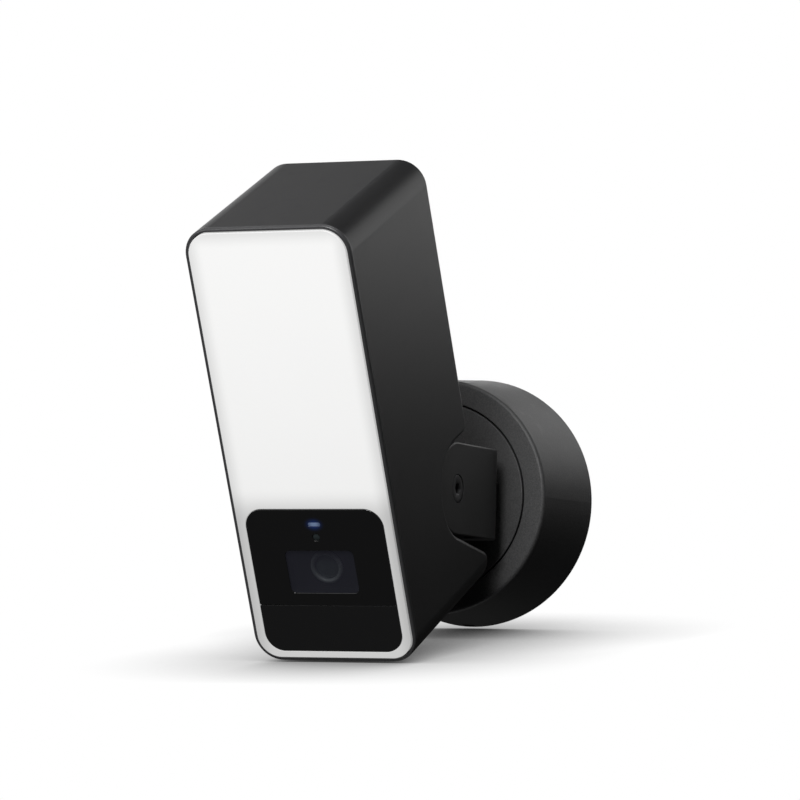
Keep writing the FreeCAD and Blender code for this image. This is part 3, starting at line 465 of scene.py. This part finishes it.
def opal_white(settings):
    """Opal front, lit from behind: white all over, with painted shade that darkens its colour and its glow softly
    at its edges and in the narrow border round the camera panel, and a little towards its foot."""
    finish = Finish("opal white")
    place = finish.head_place()
    low, high = head_limits("diffuser")
    panel_top = float(head_limits("panel_glass")[1][2])
    half, foot_up, top_up = float(high[0]), float(low[2]), float(high[2])
    fade_from, fade_to = 1 * MM, 7 * MM
    across = finish.axis(place, 0).distance()
    up = finish.axis(place, 2)
    side = across.between(half + fade_from, half - fade_to)
    top = up.between(top_up + fade_from, top_up - fade_to)
    border = up.between(panel_top - 5 * MM, panel_top + 10 * MM)
    foot = up.between(foot_up, top_up)
    at_edge, at_border, at_foot = 0.24, 0.33, 0.05  # how much darker each of them is
    # Painted shade: the edges, the border round the panel and the foot darken both the opal's colour and its glow.
    lit = side * top * at_edge + (1.0 - at_edge)
    lit = lit * (border * at_border + (1.0 - at_border)) * (foot * at_foot + (1.0 - at_foot))
    cloud = finish.noise(30 * MM, detail=2.0)
    fine = finish.noise(0.4 * MM, detail=2.0)
    glow = finish.blend(lit * (0.99 + cloud * 0.02), BLACK, rgba(settings.opal))
    tint = finish.blend(lit, rgba((0.20, 0.20, 0.20)), rgba(settings.opal, 0.55))
    finish.surface(Base_Color=tint, Roughness=0.34 + (fine - MEAN) * 0.06, Emission_Color=glow,
                   Emission_Strength=0.685, Normal=finish.bump(fine, 0.15, 0.01 * MM))
    return finish


def panel_black(settings):
    """Black glass of the camera panel, with a painted faint blue glow on the glass itself that spreads round the
    status
    light: it falls off as (1 - away) squared, where away is the distance in an ellipse, 0 at its middle and 1 at
    its edge."""
    finish = polished("black glass", settings.panel, 0.05, 0.08)
    place = finish.head_place()
    low, high = head_limits("status_light_pipe")
    middle = (low + high) / 2
    reach_aside, reach_up = 6.0 * MM, 4.2 * MM
    aside = (finish.axis(place, 0) - float(middle[0])) / reach_aside
    above = (finish.axis(place, 2) - float(middle[2])) / reach_up
    away = (aside * aside + above * above) ** 0.5
    # Painted light: the glass itself glows blue round the status light.
    glow = (1.0 - away.between(0.1, 1.0)) ** 2.0
    finish.surface(Emission_Color=finish.blend(glow, BLACK, rgba(settings.light)), Emission_Strength=0.095)
    return finish


def status_blue():
    """Lit light pipe: nearly white at its middle and blue at its ends."""
    finish = Finish("status light blue")
    place = finish.head_place()
    half = float(head_limits("status_light_pipe")[1][0])
    ends = (finish.axis(place, 0).distance() / half).between(0.2, 1.0)
    grain = finish.noise(0.5 * MM, detail=2.0)
    middle_light, end_light = rgba((0.42, 0.58, 0.95)), rgba((0.16, 0.23, 0.42))
    finish.surface(Base_Color=rgba((0.02, 0.025, 0.04)), Roughness=0.3 + grain * 0.1,
                   Emission_Color=finish.blend(ends * (0.9 + grain * 0.2), middle_light, end_light),
                   Emission_Strength=0.26)
    return finish


def clear(name, tint, rough, cover, coat=0.0):
    """Clear glass as a thin film: it covers a part of what lies behind with its own tint and gloss, and a
    trace of dust covers a little more."""
    finish = Finish(name)
    dust = 1.0 - finish.cells(1.2 * MM).between(0.02, 0.06)
    haze = finish.noise(8 * MM, detail=3.0)
    finish.surface(Base_Color=finish.blend(haze, rgba(tint, 0.92), rgba(tint, 1.08)),
                   Roughness=rough + dust * 0.05, Alpha=cover + dust * 0.03, Coat_Weight=coat, IOR=1.5)
    return finish


def circuit(name, tint, trace):
    """Printed board: solder mask with a faint net of tracks and the gloss of its lacquer."""
    finish = Finish(name)
    flat = finish.add("ShaderNodeMapping", None,
                      {"Vector": finish.place, "Rotation": (-HEAD_TILT, 0.0, 0.0)})
    tracks = finish.add("ShaderNodeTexBrick", {"offset": 0.5},
                        {"Vector": flat, "Scale": 260.0, "Mortar Size": 0.02, "Color1": BLACK,
                         "Color2": BLACK, "Mortar": WHITE})
    cloud = finish.noise(4 * MM, detail=3.0)
    mask = finish.blend(cloud, rgba(tint, 0.85), rgba(tint, 1.1))
    finish.surface(Base_Color=finish.blend(tracks * 0.5, mask, rgba(trace)), Roughness=0.32 + cloud * 0.12,
                   Normal=finish.bump(tracks, 0.3, 0.03 * MM))
    return finish


def chip_yellow():
    """Light chips: a yellow phosphor with fine paler grit."""
    finish = Finish("phosphor")
    grit = finish.noise(0.2 * MM, detail=3.0)
    tint = finish.blend(grit.between(0.35, 0.65), rgba((0.85, 0.62, 0.12)), rgba((0.95, 0.80, 0.35)))
    finish.surface(Base_Color=tint, Roughness=0.5 + grit * 0.2)
    return finish


def make_finishes(settings):
    """Every material slot's finish, by the slot's name."""
    fine, coarse, shallow = 0.3 * MM, 0.5 * MM, 0.02 * MM
    stroke = 0.4 * MM
    finishes = {
        "housing_black": satin_head(settings),
        "base_black": base_grained(settings),
        "disc_black": moulded("grained black turntable", settings.disc, settings.grain, 0.50, GRAIN_DEPTH,
                              speckle=0.7),
        "arm_black": coated("powder coat black", settings.arm),
        "inner_black": moulded("plain black moulding", (0.008, 0.008, 0.008), 0.4 * MM, 0.55, shallow),
        "panel_black": panel_black(settings),
        "sensor_black": polished("sensor cover black", settings.cover, 0.24, 0.06),
        "dark_window": polished("tinted window", (0.026, 0.033, 0.035), 0.12, 0.05),
        "clear_window": clear("clear window", (0.036, 0.037, 0.050), 0.04, 0.42),
        "lens_glass": clear("lens glass", (0.130, 0.168, 0.164), 0.05, 0.70, coat=0.5),
        "lens_metal": metal("black anodised", (0.27, 0.30, 0.31), 0.50, stroke, bare=0.3),
        "opal_white": opal_white(settings),
        "light_pipe": status_blue(),
        "led_white": chip_yellow(),
        "white_plastic": moulded("white moulding", (0.78, 0.78, 0.76), coarse, 0.40, shallow, wear=0.02),
        "white_board": circuit("white board", (0.80, 0.80, 0.78), (0.62, 0.62, 0.60)),
        "board_green": circuit("green board", (0.010, 0.085, 0.035), (0.05, 0.22, 0.10)),
        "dark_parts": moulded("electronic black", (0.018, 0.018, 0.019), coarse, 0.45, 0.03 * MM),
        "capacitor_sleeve": moulded("blue sleeve", (0.02, 0.03, 0.12), 0.6 * MM, 0.30, 0.01 * MM),
        "terminal_grey": moulded("terminal grey", (0.33, 0.34, 0.34), coarse, 0.45, shallow, wear=0.04),
        "zinc_steel": metal("zinc plated steel", (0.42, 0.43, 0.44), 0.36, fine, stained=0.25, bare=0.55),
        "black_steel": metal("black oxide steel", (0.045, 0.045, 0.047), 0.46, fine, stained=0.3, bare=0.4),
        "bare_aluminium": metal("extruded aluminium", (0.74, 0.75, 0.76), 0.30, stroke),
        "brass": metal("turned brass", (0.72, 0.52, 0.22), 0.28, fine, stained=0.2),
        "rubber": rubbery("black rubber", (0.016, 0.016, 0.016)),
        "foam": rubbery("closed-cell foam", (0.035, 0.035, 0.036), 0.9, pores=0.8),
    }
    return {slot: finish.material for slot, finish in finishes.items()}


# ---- pieces of the front ----


def make_opal_front(settings):
    """The diffuser. Rows of outlines run from the panel's window, over a rounded edge, across the front,
    over the outer rounded edge, and round the back to the start. Between the window and the outer edge a row
    is the mix (1 - s) * window + s * outer, and the front is raised there by
    crown * sin(pi * s) * gap / widest gap."""
    low, high = head_limits("diffuser")
    glass, cover = head_limits("panel_glass"), head_limits("sensor_cover")
    steps, edge, seam = settings.steps, settings.edge, settings.seam
    half, foot, top = float(high[0]), float(low[2]), float(high[2])
    inner_low, inner_high = float(cover[0][2]) - seam, float(glass[1][2]) + seam
    inner_half = float(glass[1][0]) + seam
    outer_r = settings.head_corner - (float(head_limits("front_frame")[1][0]) - half)
    inner_r = settings.panel_corner + seam
    front, back = float(low[1]), float(high[1])

    def window(inset):
        radius = inner_r - inset
        return rounded_outline(inner_half - inset, inner_low + inset, inner_high - inset, radius, radius,
                               steps)

    def outer(inset):
        radius = outer_r - inset
        return rounded_outline(half - inset, foot + inset, top - inset, radius, radius, steps)

    turn = np.linspace(0.0, math.pi / 2, EDGE_ROWS)
    loops, depths = [], []
    for angle in turn:
        loops.append(window(-edge * (1.0 - math.cos(angle))))
        depths.append(front + edge * (1.0 - math.sin(angle)))
    inner_loop, outer_loop = window(-edge), outer(edge)
    share = np.linspace(0.0, 1.0, FRONT_ROWS + 2)[1:-1]
    loops += [(1.0 - s) * inner_loop + s * outer_loop for s in share]
    depths += [front] * len(share)
    for angle in turn[::-1]:
        loops.append(outer(edge * (1.0 - math.cos(angle))))
        depths.append(front + edge * (1.0 - math.sin(angle)))
    loops += [outer(0.0), window(0.0)]
    depths += [back, back]
    points = loft(loops, depths)
    columns = len(inner_loop)
    gap = np.linalg.norm(outer_loop - inner_loop, axis=1)
    rise = settings.crown * gap / gap.max()
    for row, s in enumerate(share, len(turn)):
        points[row * columns:(row + 1) * columns, 1] -= rise * math.sin(math.pi * s)
    faces = grid_faces(len(loops), columns, close_rows=True)
    piece = make_piece("opal_front", in_head(points), faces, "head", "opal_white")
    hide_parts("diffuser")


def edged_plate(name, node, radii, edge, steps, slot):
    """A flat plate in a node's place with a rounded front edge. Outlines run from its back's middle out,
    forward, over the edge by a quarter circle and in to its front's middle. The radii are those of its lower
    and its upper corners."""
    low, high = head_limits(node)
    half, foot, top = float(high[0]), float(low[2]), float(high[2])
    front, back = float(low[1]), float(high[1])
    outline = rounded_outline(half, foot, top, *radii, steps)
    middle = np.array([0.0, (foot + top) / 2])
    loops, depths = [], []
    for share in (CAP_SHARE, 0.5, 1.0):
        loops.append(middle + (outline - middle) * share)
        depths.append(back)
    for angle in np.linspace(0.0, math.pi / 2, EDGE_ROWS):
        inset = edge * (1.0 - math.cos(angle))
        scale = 1.0 - inset / np.array([half, (top - foot) / 2])
        loops.append(middle + (outline - middle) * scale)
        depths.append(front + edge * (1.0 - math.sin(angle)))
    rim = loops[-1]
    for share in np.linspace(1.0, CAP_SHARE, PLATE_ROWS + 1)[1:]:
        loops.append(middle + (rim - middle) * share)
        depths.append(front)
    points = loft(loops, depths)
    columns = len(outline)
    faces = grid_faces(len(loops), columns)
    faces.append(list(range(columns))[::-1])
    faces.append(list(range(len(points) - columns, len(points))))
    piece = make_piece(name, in_head(points), faces, "head", slot)
    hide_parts(node)


def make_sensor_skin(settings):
    """The motion sensor's cover: wide round corners below, where it is the panel's foot, and small ones at
    its straight joint with the glass."""
    edged_plate("sensor_skin", "sensor_cover", (settings.panel_corner, 0.6 * MM), settings.cover_edge,
                settings.steps, "sensor_black")


def turned(name, profile, centre, steps, body, slot):
    """A turned piece from a closed profile of (radius, along) points; rows at radius 0 close to a pole. On
    the head it is turned in the head's own frame."""
    points = lathe(profile, centre, steps)
    faces = grid_faces(len(profile), steps, close_rows=True)
    if body == "head":
        points = in_head(points)
    piece = make_piece(name, points, faces, body, slot)
    merge_poles(piece)
    return piece


def merge_poles(piece):
    """Joins points that coincide, so that poles and seams are closed, and turns the faces outwards."""
    mesh = bmesh.new()
    mesh.from_mesh(piece.data)
    bmesh.ops.remove_doubles(mesh, verts=mesh.verts, dist=SAME_POINT)
    bmesh.ops.dissolve_degenerate(mesh, edges=mesh.edges, dist=SAME_POINT / 10)
    bmesh.ops.recalc_face_normals(mesh, faces=mesh.faces)
    mesh.to_mesh(piece.data)
    mesh.free()
    piece.data.shade_smooth()


def arc(radius, start, end, centre, steps=8):
    """Points of an arc of a profile, from start to end in degrees, about centre (radius, along)."""
    angle = np.radians(np.linspace(start, end, steps))
    return np.stack([centre[0] + radius * np.cos(angle), centre[1] + radius * np.sin(angle)], axis=1)


def make_lens_parts(settings):
    """Lens barrel with a rounded lip and a stepped mouth, a domed front element, a baffle whose ledges step
    back towards the iris, and the round element behind it. The dome's depth at the radius r is
    ball - sqrt(ball * ball - r * r)."""
    low, high = head_limits("lens_barrel")
    glass_low, glass_high = head_limits("lens_glass")
    centre = (0.0, float(glass_low[2] + glass_high[2]) / 2)
    bore, flange = float(glass_high[0]), float(high[0])
    front, back = float(low[1]), float(high[1])
    steps = settings.ring_steps
    radius, lip, shoulder = 7.6 * MM, 1.0 * MM, front + 2.6 * MM
    # The mouth's rows, in millimetres: how far outside the bore and how far behind the front.
    mouth = np.array([[0.5, 0.0], [0.42, 0.2], [0.15, 0.25], [0.0, 0.45], [0.0, 0.7]])
    barrel = np.concatenate([
        [[bore, back], [flange, back], [flange, shoulder], [radius, shoulder]],
        arc(lip, 0, -90, (radius - lip, front + lip)),
        mouth * MM + [bore, front],
    ])
    piece = turned("lens_ring", barrel, centre, steps, "head", "lens_metal")
    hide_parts("lens_barrel")

    dome, thick, edge = settings.dome, 0.5 * MM, bore - 0.02 * MM
    rim = float(glass_low[1]) + dome
    ball = (bore * bore + dome * dome) / (2 * dome)
    out = np.linspace(0.0, edge, 20)[:, None]
    domed = np.concatenate([out, rim - dome + ball - np.sqrt(ball * ball - out * out)], axis=1)
    behind = [[edge, rim + thick], [0.0, rim + thick]]
    piece = turned("front_element", np.concatenate([domed, behind]), centre, steps, "head", "lens_glass")
    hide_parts("lens_glass")

    iris, plate = settings.iris_radius, rim + 1.3 * MM
    ledges, outermost, half_thick, fall = 6, bore - 0.4 * MM, 0.4 * MM, 0.11 * MM
    rows = [[iris, plate + 0.25 * MM], [edge, plate + half_thick], [edge, plate - half_thick]]
    for k in range(ledges):
        ledge, depth = outermost - (outermost - iris) * k / ledges, plate - half_thick + k * fall
        rows += [[ledge, depth], [ledge - 0.12 * MM, depth + 0.06 * MM]]
    turned("iris_baffle", np.array(rows), centre, steps, "head", "inner_black")

    bead, collar, middle, end = 1.2 * MM, iris * 0.98, plate + 1.0 * MM, plate + 1.6 * MM
    bulge = np.concatenate([arc(bead, -90, -8, (0.0, middle), 14),
                            [[collar, middle], [collar, end], [0.0, end]]])
    turned("inner_element", bulge, centre, steps // 2, "head", "lens_glass")


def make_sensor_dome(settings):
    """Ambient light sensor's window: a disc whose front is a shallow dome, front + r * r / (2 * ball)."""
    low, high = head_limits("light_sensor_pipe")
    centre = (0.0, float(low[2] + high[2]) / 2)
    radius, front, back = float(high[0]), float(low[1]), float(high[1])
    ball = 4.0 * MM
    out = np.linspace(0.0, radius, 12)[:, None]
    domed = np.concatenate([out, front + out * out / (2 * ball)], axis=1)
    profile = np.concatenate([domed, [[radius, back], [0.0, back]]])
    piece = turned("sensor_dome", profile, centre, settings.ring_steps // 2, "head", "dark_window")
    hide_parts("light_sensor_pipe")


def make_status_lamp(settings):
    """Light pipe's end: a bar with round ends and a soft front edge."""
    low, high = head_limits("status_light_pipe")
    end = float(high[2] - low[2]) / 2 - 0.05 * MM
    edged_plate("status_lamp", "status_light_pipe", (end, end), 0.2 * MM, settings.steps, "light_pipe")


# ---- pieces of the hinge and the base ----


def make_tilt_screw():
    """Tilt screw: a turned head with a finely rounded rim, and a hexagon socket let into it, with a narrow
    mouth and a cone at its bottom. The socket's radius at the angle a is
    r * cos(30 deg) / cos(a mod 60 deg - 30 deg). A row is its radius, its place along X and its share of
    the hexagon, from 0 for a circle to 1."""
    low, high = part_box("tilt_screw")
    tip, face = low[0], high[0]
    centre_y, centre_z = (low[1] + high[1]) / 2, (low[2] + high[2]) / 2
    head, shank, socket = (high[1] - low[1]) / 2 - 0.25 * MM, 4.0 * MM, 2.6 * MM
    under, rim, chamfer = face - 2.2 * MM, 0.12 * MM, 0.5 * MM
    steps = 144
    angle = np.linspace(0.0, 2 * math.pi, steps, endpoint=False)
    hexagon = math.cos(math.pi / 6) / np.cos(np.mod(angle, math.pi / 3) - math.pi / 6)
    rows = [(0.0, tip, 0.0), (shank - chamfer, tip, 0.0), (shank, tip + chamfer, 0.0),
            (shank, under, 0.0), (head, under, 0.0)]
    rows += [(head - rim + rim * math.cos(turn), face - rim + rim * math.sin(turn), 0.0)
             for turn in np.linspace(0.0, math.pi / 2, EDGE_ROWS)]
    # The socket's rows: share of its radius, depth in millimetres and share of the hexagon.
    let_in = ((1.10, 0.0, 0.5), (1.04, 0.08, 0.9), (1.0, 0.12, 1.0), (1.0, 1.75, 1.0), (0.7, 1.8, 0.8),
              (0.0, 2.1, 0.0))
    rows += [(socket * share, face - depth * MM, six) for share, depth, six in let_in]
    radius, along, six = (np.array(column)[:, None] for column in zip(*rows))
    reach = radius * (1.0 + six * (hexagon[None, :] - 1.0))
    points = np.stack([np.broadcast_to(along, reach.shape), centre_y + reach * np.cos(angle),
                       centre_z + reach * np.sin(angle)], axis=-1).reshape(-1, 3)
    piece = make_piece("socket_screw", points, grid_faces(len(rows), steps), "turntable", "black_steel")
    merge_poles(piece)
    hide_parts("tilt_screw")


def make_ribbed_gasket():
    """Wall gasket: a flat foam ring with three rounded ribs on its wall side, rib * sqrt(abs(sin(pi * s)))
    high at the share s of a rib, which stay inside the ring's thickness."""
    low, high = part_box("wall_gasket")
    outer, inner = high[0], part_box("base_housing")[1][0] - 3.0 * MM
    front, back = low[1], high[1]
    rib, ribs, margin, columns = 0.4 * MM, 3, 0.15 * MM, 61
    valley = back - rib
    across = np.linspace(outer - margin, inner + margin, columns)
    wave = valley + rib * np.abs(np.sin(math.pi * np.linspace(0.0, ribs, columns))) ** 0.5
    ribbed = np.stack([across, wave], axis=1)[::-1]
    profile = np.concatenate([[[inner, front], [inner, valley]], ribbed, [[outer, valley], [outer, front]]])
    piece = turned("ribbed_gasket", profile, BASE_AXIS, steps=192, body="wall_base", slot="foam")
    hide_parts("wall_gasket")


def make_grommet_boot():
    """Cable grommet: a rubber ring with a neck through the plate, a domed flange and two soft lips in its
    bore."""
    low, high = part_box("cable_grommet")
    bore, neck, flange = 5.0 * MM, 9.0 * MM, high[0]
    tip, end, plate = low[1], high[1], -2.5 * MM
    wall, lip = bore + 0.3 * MM, bore + 0.02 * MM
    profile = np.concatenate([
        [[bore + 0.35 * MM, end], [neck - 0.4 * MM, end], [neck, end - 0.4 * MM], [neck, plate],
         [flange - 0.5 * MM, plate]],
        arc(0.6 * MM, 60, -60, (flange - 0.6 * MM, plate - 1.2 * MM)),
        arc(2.4 * MM, -20, -80, (bore + 2.9 * MM, tip + 2.4 * MM)),
        [[wall, tip + 0.3 * MM], [lip, tip + 0.8 * MM], [wall, tip + 1.6 * MM], [wall, tip + 3.4 * MM],
         [lip, tip + 4.2 * MM], [wall, tip + 5.0 * MM]],
    ])
    piece = turned("grommet_boot", profile, BASE_AXIS, steps=96, body="wall_base", slot="rubber")
    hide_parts("cable_grommet")


# ---- stage ----

# Each light: its name, its place, what it faces, its width and height in metres, and its radiance.
LIGHTS = (
    ("back left softbox", (-0.95, 0.90, 0.60), (0.0, -0.12, 0.03), (1.2, 1.0), 1.0),
    ("back right card", (0.33, 0.55, 0.41), (0.03, -0.12, 0.10), (0.6, 0.5), 1.35),
    ("back low card", (-0.22, 0.90, 0.28), (0.0, -0.03, 0.04), (0.5, 0.35), 2.5),
    ("top softbox", (0.0, -0.5, 1.4), (0.0, -0.12, 0.0), (1.4, 1.4), 1.0),
    ("front left softbox", (-1.2, -1.6, 0.7), (0.0, -0.12, 0.03), (1.2, 1.2), 2.5),
    ("front softbox", (0.12, -1.8, 1.0), (0.0, -0.12, 0.03), (0.8, 0.8), 15.0),
    ("under softbox", (-0.1, 0.15, -1.0), (0.0, -0.05, 0.0), (0.7, 0.7), 0.5),
)


def place_camera(settings):
    """Camera at its angle about the origin, moved aside and up, and rolled about its own axis."""
    a, e, r = settings.azimuth, settings.elevation, settings.roll
    back = Vector((math.sin(a) * math.cos(e), -math.cos(a) * math.cos(e), math.sin(e)))
    level = Vector((math.cos(a), math.sin(a), 0.0))
    upright = back.cross(level)
    right = math.cos(r) * level + math.sin(r) * upright
    up = -math.sin(r) * level + math.cos(r) * upright
    data = bpy.data.cameras.new("camera")
    data.lens = settings.lens
    data.sensor_width = 36.0
    camera = bpy.data.objects.new("camera", data)
    turn = Matrix((right, up, back)).transposed().to_4x4()
    camera.matrix_world = Matrix.Translation(back * settings.distance + right * settings.aside
                                             + up * settings.raised) @ turn
    bpy.context.scene.collection.objects.link(camera)
    bpy.context.scene.camera = camera


def area_light(name, place, target, size, radiance):
    """A soft rectangular light at place, facing target. Its power is radiance * pi * area."""
    data = bpy.data.lights.new(name, "AREA")
    data.shape = "RECTANGLE"
    data.size, data.size_y = size
    data.energy = radiance * math.pi * size[0] * size[1]
    lamp = bpy.data.objects.new(name, data)
    lamp.location = place
    lamp.rotation_euler = (Vector(target) - Vector(place)).to_track_quat("-Z", "Y").to_euler()
    lamp.visible_camera = False
    bpy.context.scene.collection.objects.link(lamp)


def make_floor(settings):
    """Floor that touches the head's lower front edge and the base's lower back edge. It is a film that shows
    the backdrop, darkened only in the object's soft shadow, and it is clear from below, so that it hides no
    part of a turned head or of the underside."""
    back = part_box("base_housing")[0]
    low = head_limits("front_frame")[0]
    touch = in_head(np.array([[0.0, low[1], low[2]]]))[0]
    slope = (back[2] - touch[2]) / -touch[1]
    reach, behind = settings.floor_reach, settings.floor_behind
    sunk = 0.6 * MM  # how far the floor lies below the two edges

    def level(y):
        return back[2] + slope * y - sunk

    corners = [(-reach, -reach), (reach, -reach), (reach, behind), (-reach, behind)]
    mesh = bpy.data.meshes.new("floor")
    mesh.from_pydata([(x, y, level(y)) for x, y in corners], [], [(0, 1, 2, 3)])
    floor = bpy.data.objects.new("floor", mesh)
    bpy.context.scene.collection.objects.link(floor)
    finish = Finish("pale floor")
    open_sky = finish.add("ShaderNodeAmbientOcclusion", {"samples": 24},
                          {"Distance": settings.shadow_reach}, output="AO")
    from_below = finish.add("ShaderNodeNewGeometry", output="Backfacing")
    shadow = 1.0 - open_sky ** settings.shadow_depth
    finish.surface(Base_Color=BLACK, Roughness=0.9, Specular_IOR_Level=0.0,
                   Alpha=shadow * (1.0 - from_below))
    mesh.materials.append(finish.material)
    floor.visible_glossy = False
    floor.visible_diffuse = False


def make_sky(settings):
    """White backdrop for the camera, and a dim even fill for everything else."""
    world = bpy.data.worlds.new("studio")
    world.use_nodes = True
    tree = world.node_tree
    tree.nodes.clear()
    path = tree.nodes.new("ShaderNodeLightPath")
    white = tree.nodes.new("ShaderNodeBackground")
    fill = tree.nodes.new("ShaderNodeBackground")
    mix = tree.nodes.new("ShaderNodeMixShader")
    out = tree.nodes.new("ShaderNodeOutputWorld")
    white.inputs["Color"].default_value = WHITE
    fill.inputs["Color"].default_value = WHITE
    fill.inputs["Strength"].default_value = settings.fill
    tree.links.new(path.outputs["Is Camera Ray"], mix.inputs[0])
    tree.links.new(fill.outputs[0], mix.inputs[1])
    tree.links.new(white.outputs[0], mix.inputs[2])
    tree.links.new(mix.outputs[0], out.inputs[0])
    bpy.context.scene.world = world
    bpy.context.scene.view_settings.view_transform = "Standard"


# ---- operators ----


class FLOODLIGHT_OT_finishes(Operator):
    """Makes every finish and gives it to the parts of its slot."""

    bl_idname = "floodlight.finishes"
    bl_label = "Finishes"

    def execute(self, context):
        FINISHES.update(make_finishes(context.scene.floodlight_finish))
        slots = {part["node"]: part["material_slot"] for part in frame["record"]["subparts"]}
        for node, piece in frame["nodes"].items():
            materials = piece.data.materials
            if not materials:
                materials.append(None)
            for index in range(len(materials)):
                materials[index] = FINISHES[slots[node]]
        return {"FINISHED"}


class FLOODLIGHT_OT_front(Operator):
    """Makes the opal front, the sensor cover's skin and the status lamp."""

    bl_idname = "floodlight.front"
    bl_label = "Front"

    def execute(self, context):
        settings = context.scene.floodlight_front
        make_opal_front(settings)
        make_sensor_skin(settings)
        make_status_lamp(settings)
        return {"FINISHED"}


class FLOODLIGHT_OT_lens(Operator):
    """Makes the lens ring, its elements and its iris, and the light sensor's window."""

    bl_idname = "floodlight.lens"
    bl_label = "Lens"

    def execute(self, context):
        make_lens_parts(context.scene.floodlight_lens)
        make_sensor_dome(context.scene.floodlight_lens)
        return {"FINISHED"}


class FLOODLIGHT_OT_hinge(Operator):
    """Makes the tilt screw."""

    bl_idname = "floodlight.hinge"
    bl_label = "Hinge"

    def execute(self, context):
        make_tilt_screw()
        return {"FINISHED"}


class FLOODLIGHT_OT_base(Operator):
    """Makes the wall gasket and the cable grommet."""

    bl_idname = "floodlight.base"
    bl_label = "Base"

    def execute(self, context):
        make_ribbed_gasket()
        make_grommet_boot()
        return {"FINISHED"}


class FLOODLIGHT_OT_stage(Operator):
    """Makes the camera, the floor, the backdrop and the lights."""

    bl_idname = "floodlight.stage"
    bl_label = "Stage"

    def execute(self, context):
        settings = context.scene.floodlight_stage
        place_camera(settings)
        make_floor(settings)
        make_sky(settings)
        for name, place, target, size, radiance in LIGHTS:
            area_light(name, place, target, size, radiance)
        return {"FINISHED"}


class FLOODLIGHT_PT_panel(Panel):
    """Lists the steps that make the floodlight camera's looks."""

    bl_idname = "FLOODLIGHT_PT_panel"
    bl_label = "Floodlight camera"
    bl_space_type = "VIEW_3D"
    bl_region_type = "UI"
    bl_category = "Floodlight"

    def draw(self, context):
        for operator in OPERATORS:
            self.layout.operator(operator.bl_idname)


SETTINGS = {
    "floodlight_finish": FinishSettings,
    "floodlight_front": FrontSettings,
    "floodlight_lens": LensSettings,
    "floodlight_stage": StageSettings,
}
OPERATORS = (
    FLOODLIGHT_OT_finishes,
    FLOODLIGHT_OT_front,
    FLOODLIGHT_OT_lens,
    FLOODLIGHT_OT_hinge,
    FLOODLIGHT_OT_base,
    FLOODLIGHT_OT_stage,
)


def register():
    """Registers the settings, the operators and the panel."""
    for name, group in SETTINGS.items():
        bpy.utils.register_class(group)
        setattr(bpy.types.Scene, name, PointerProperty(type=group))
    for operator in OPERATORS:
        bpy.utils.register_class(operator)
    bpy.utils.register_class(FLOODLIGHT_PT_panel)


def unregister():
    """Removes what register added."""
    bpy.utils.unregister_class(FLOODLIGHT_PT_panel)
    for operator in reversed(OPERATORS):
        bpy.utils.unregister_class(operator)
    for name, group in SETTINGS.items():
        delattr(bpy.types.Scene, name)
        bpy.utils.unregister_class(group)


def main():
    """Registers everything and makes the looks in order."""
    register()
    for operator in OPERATORS:
        group, step = operator.bl_idname.split(".")
        getattr(getattr(bpy.ops, group), step)()


if __name__ == "__main__":
    main()
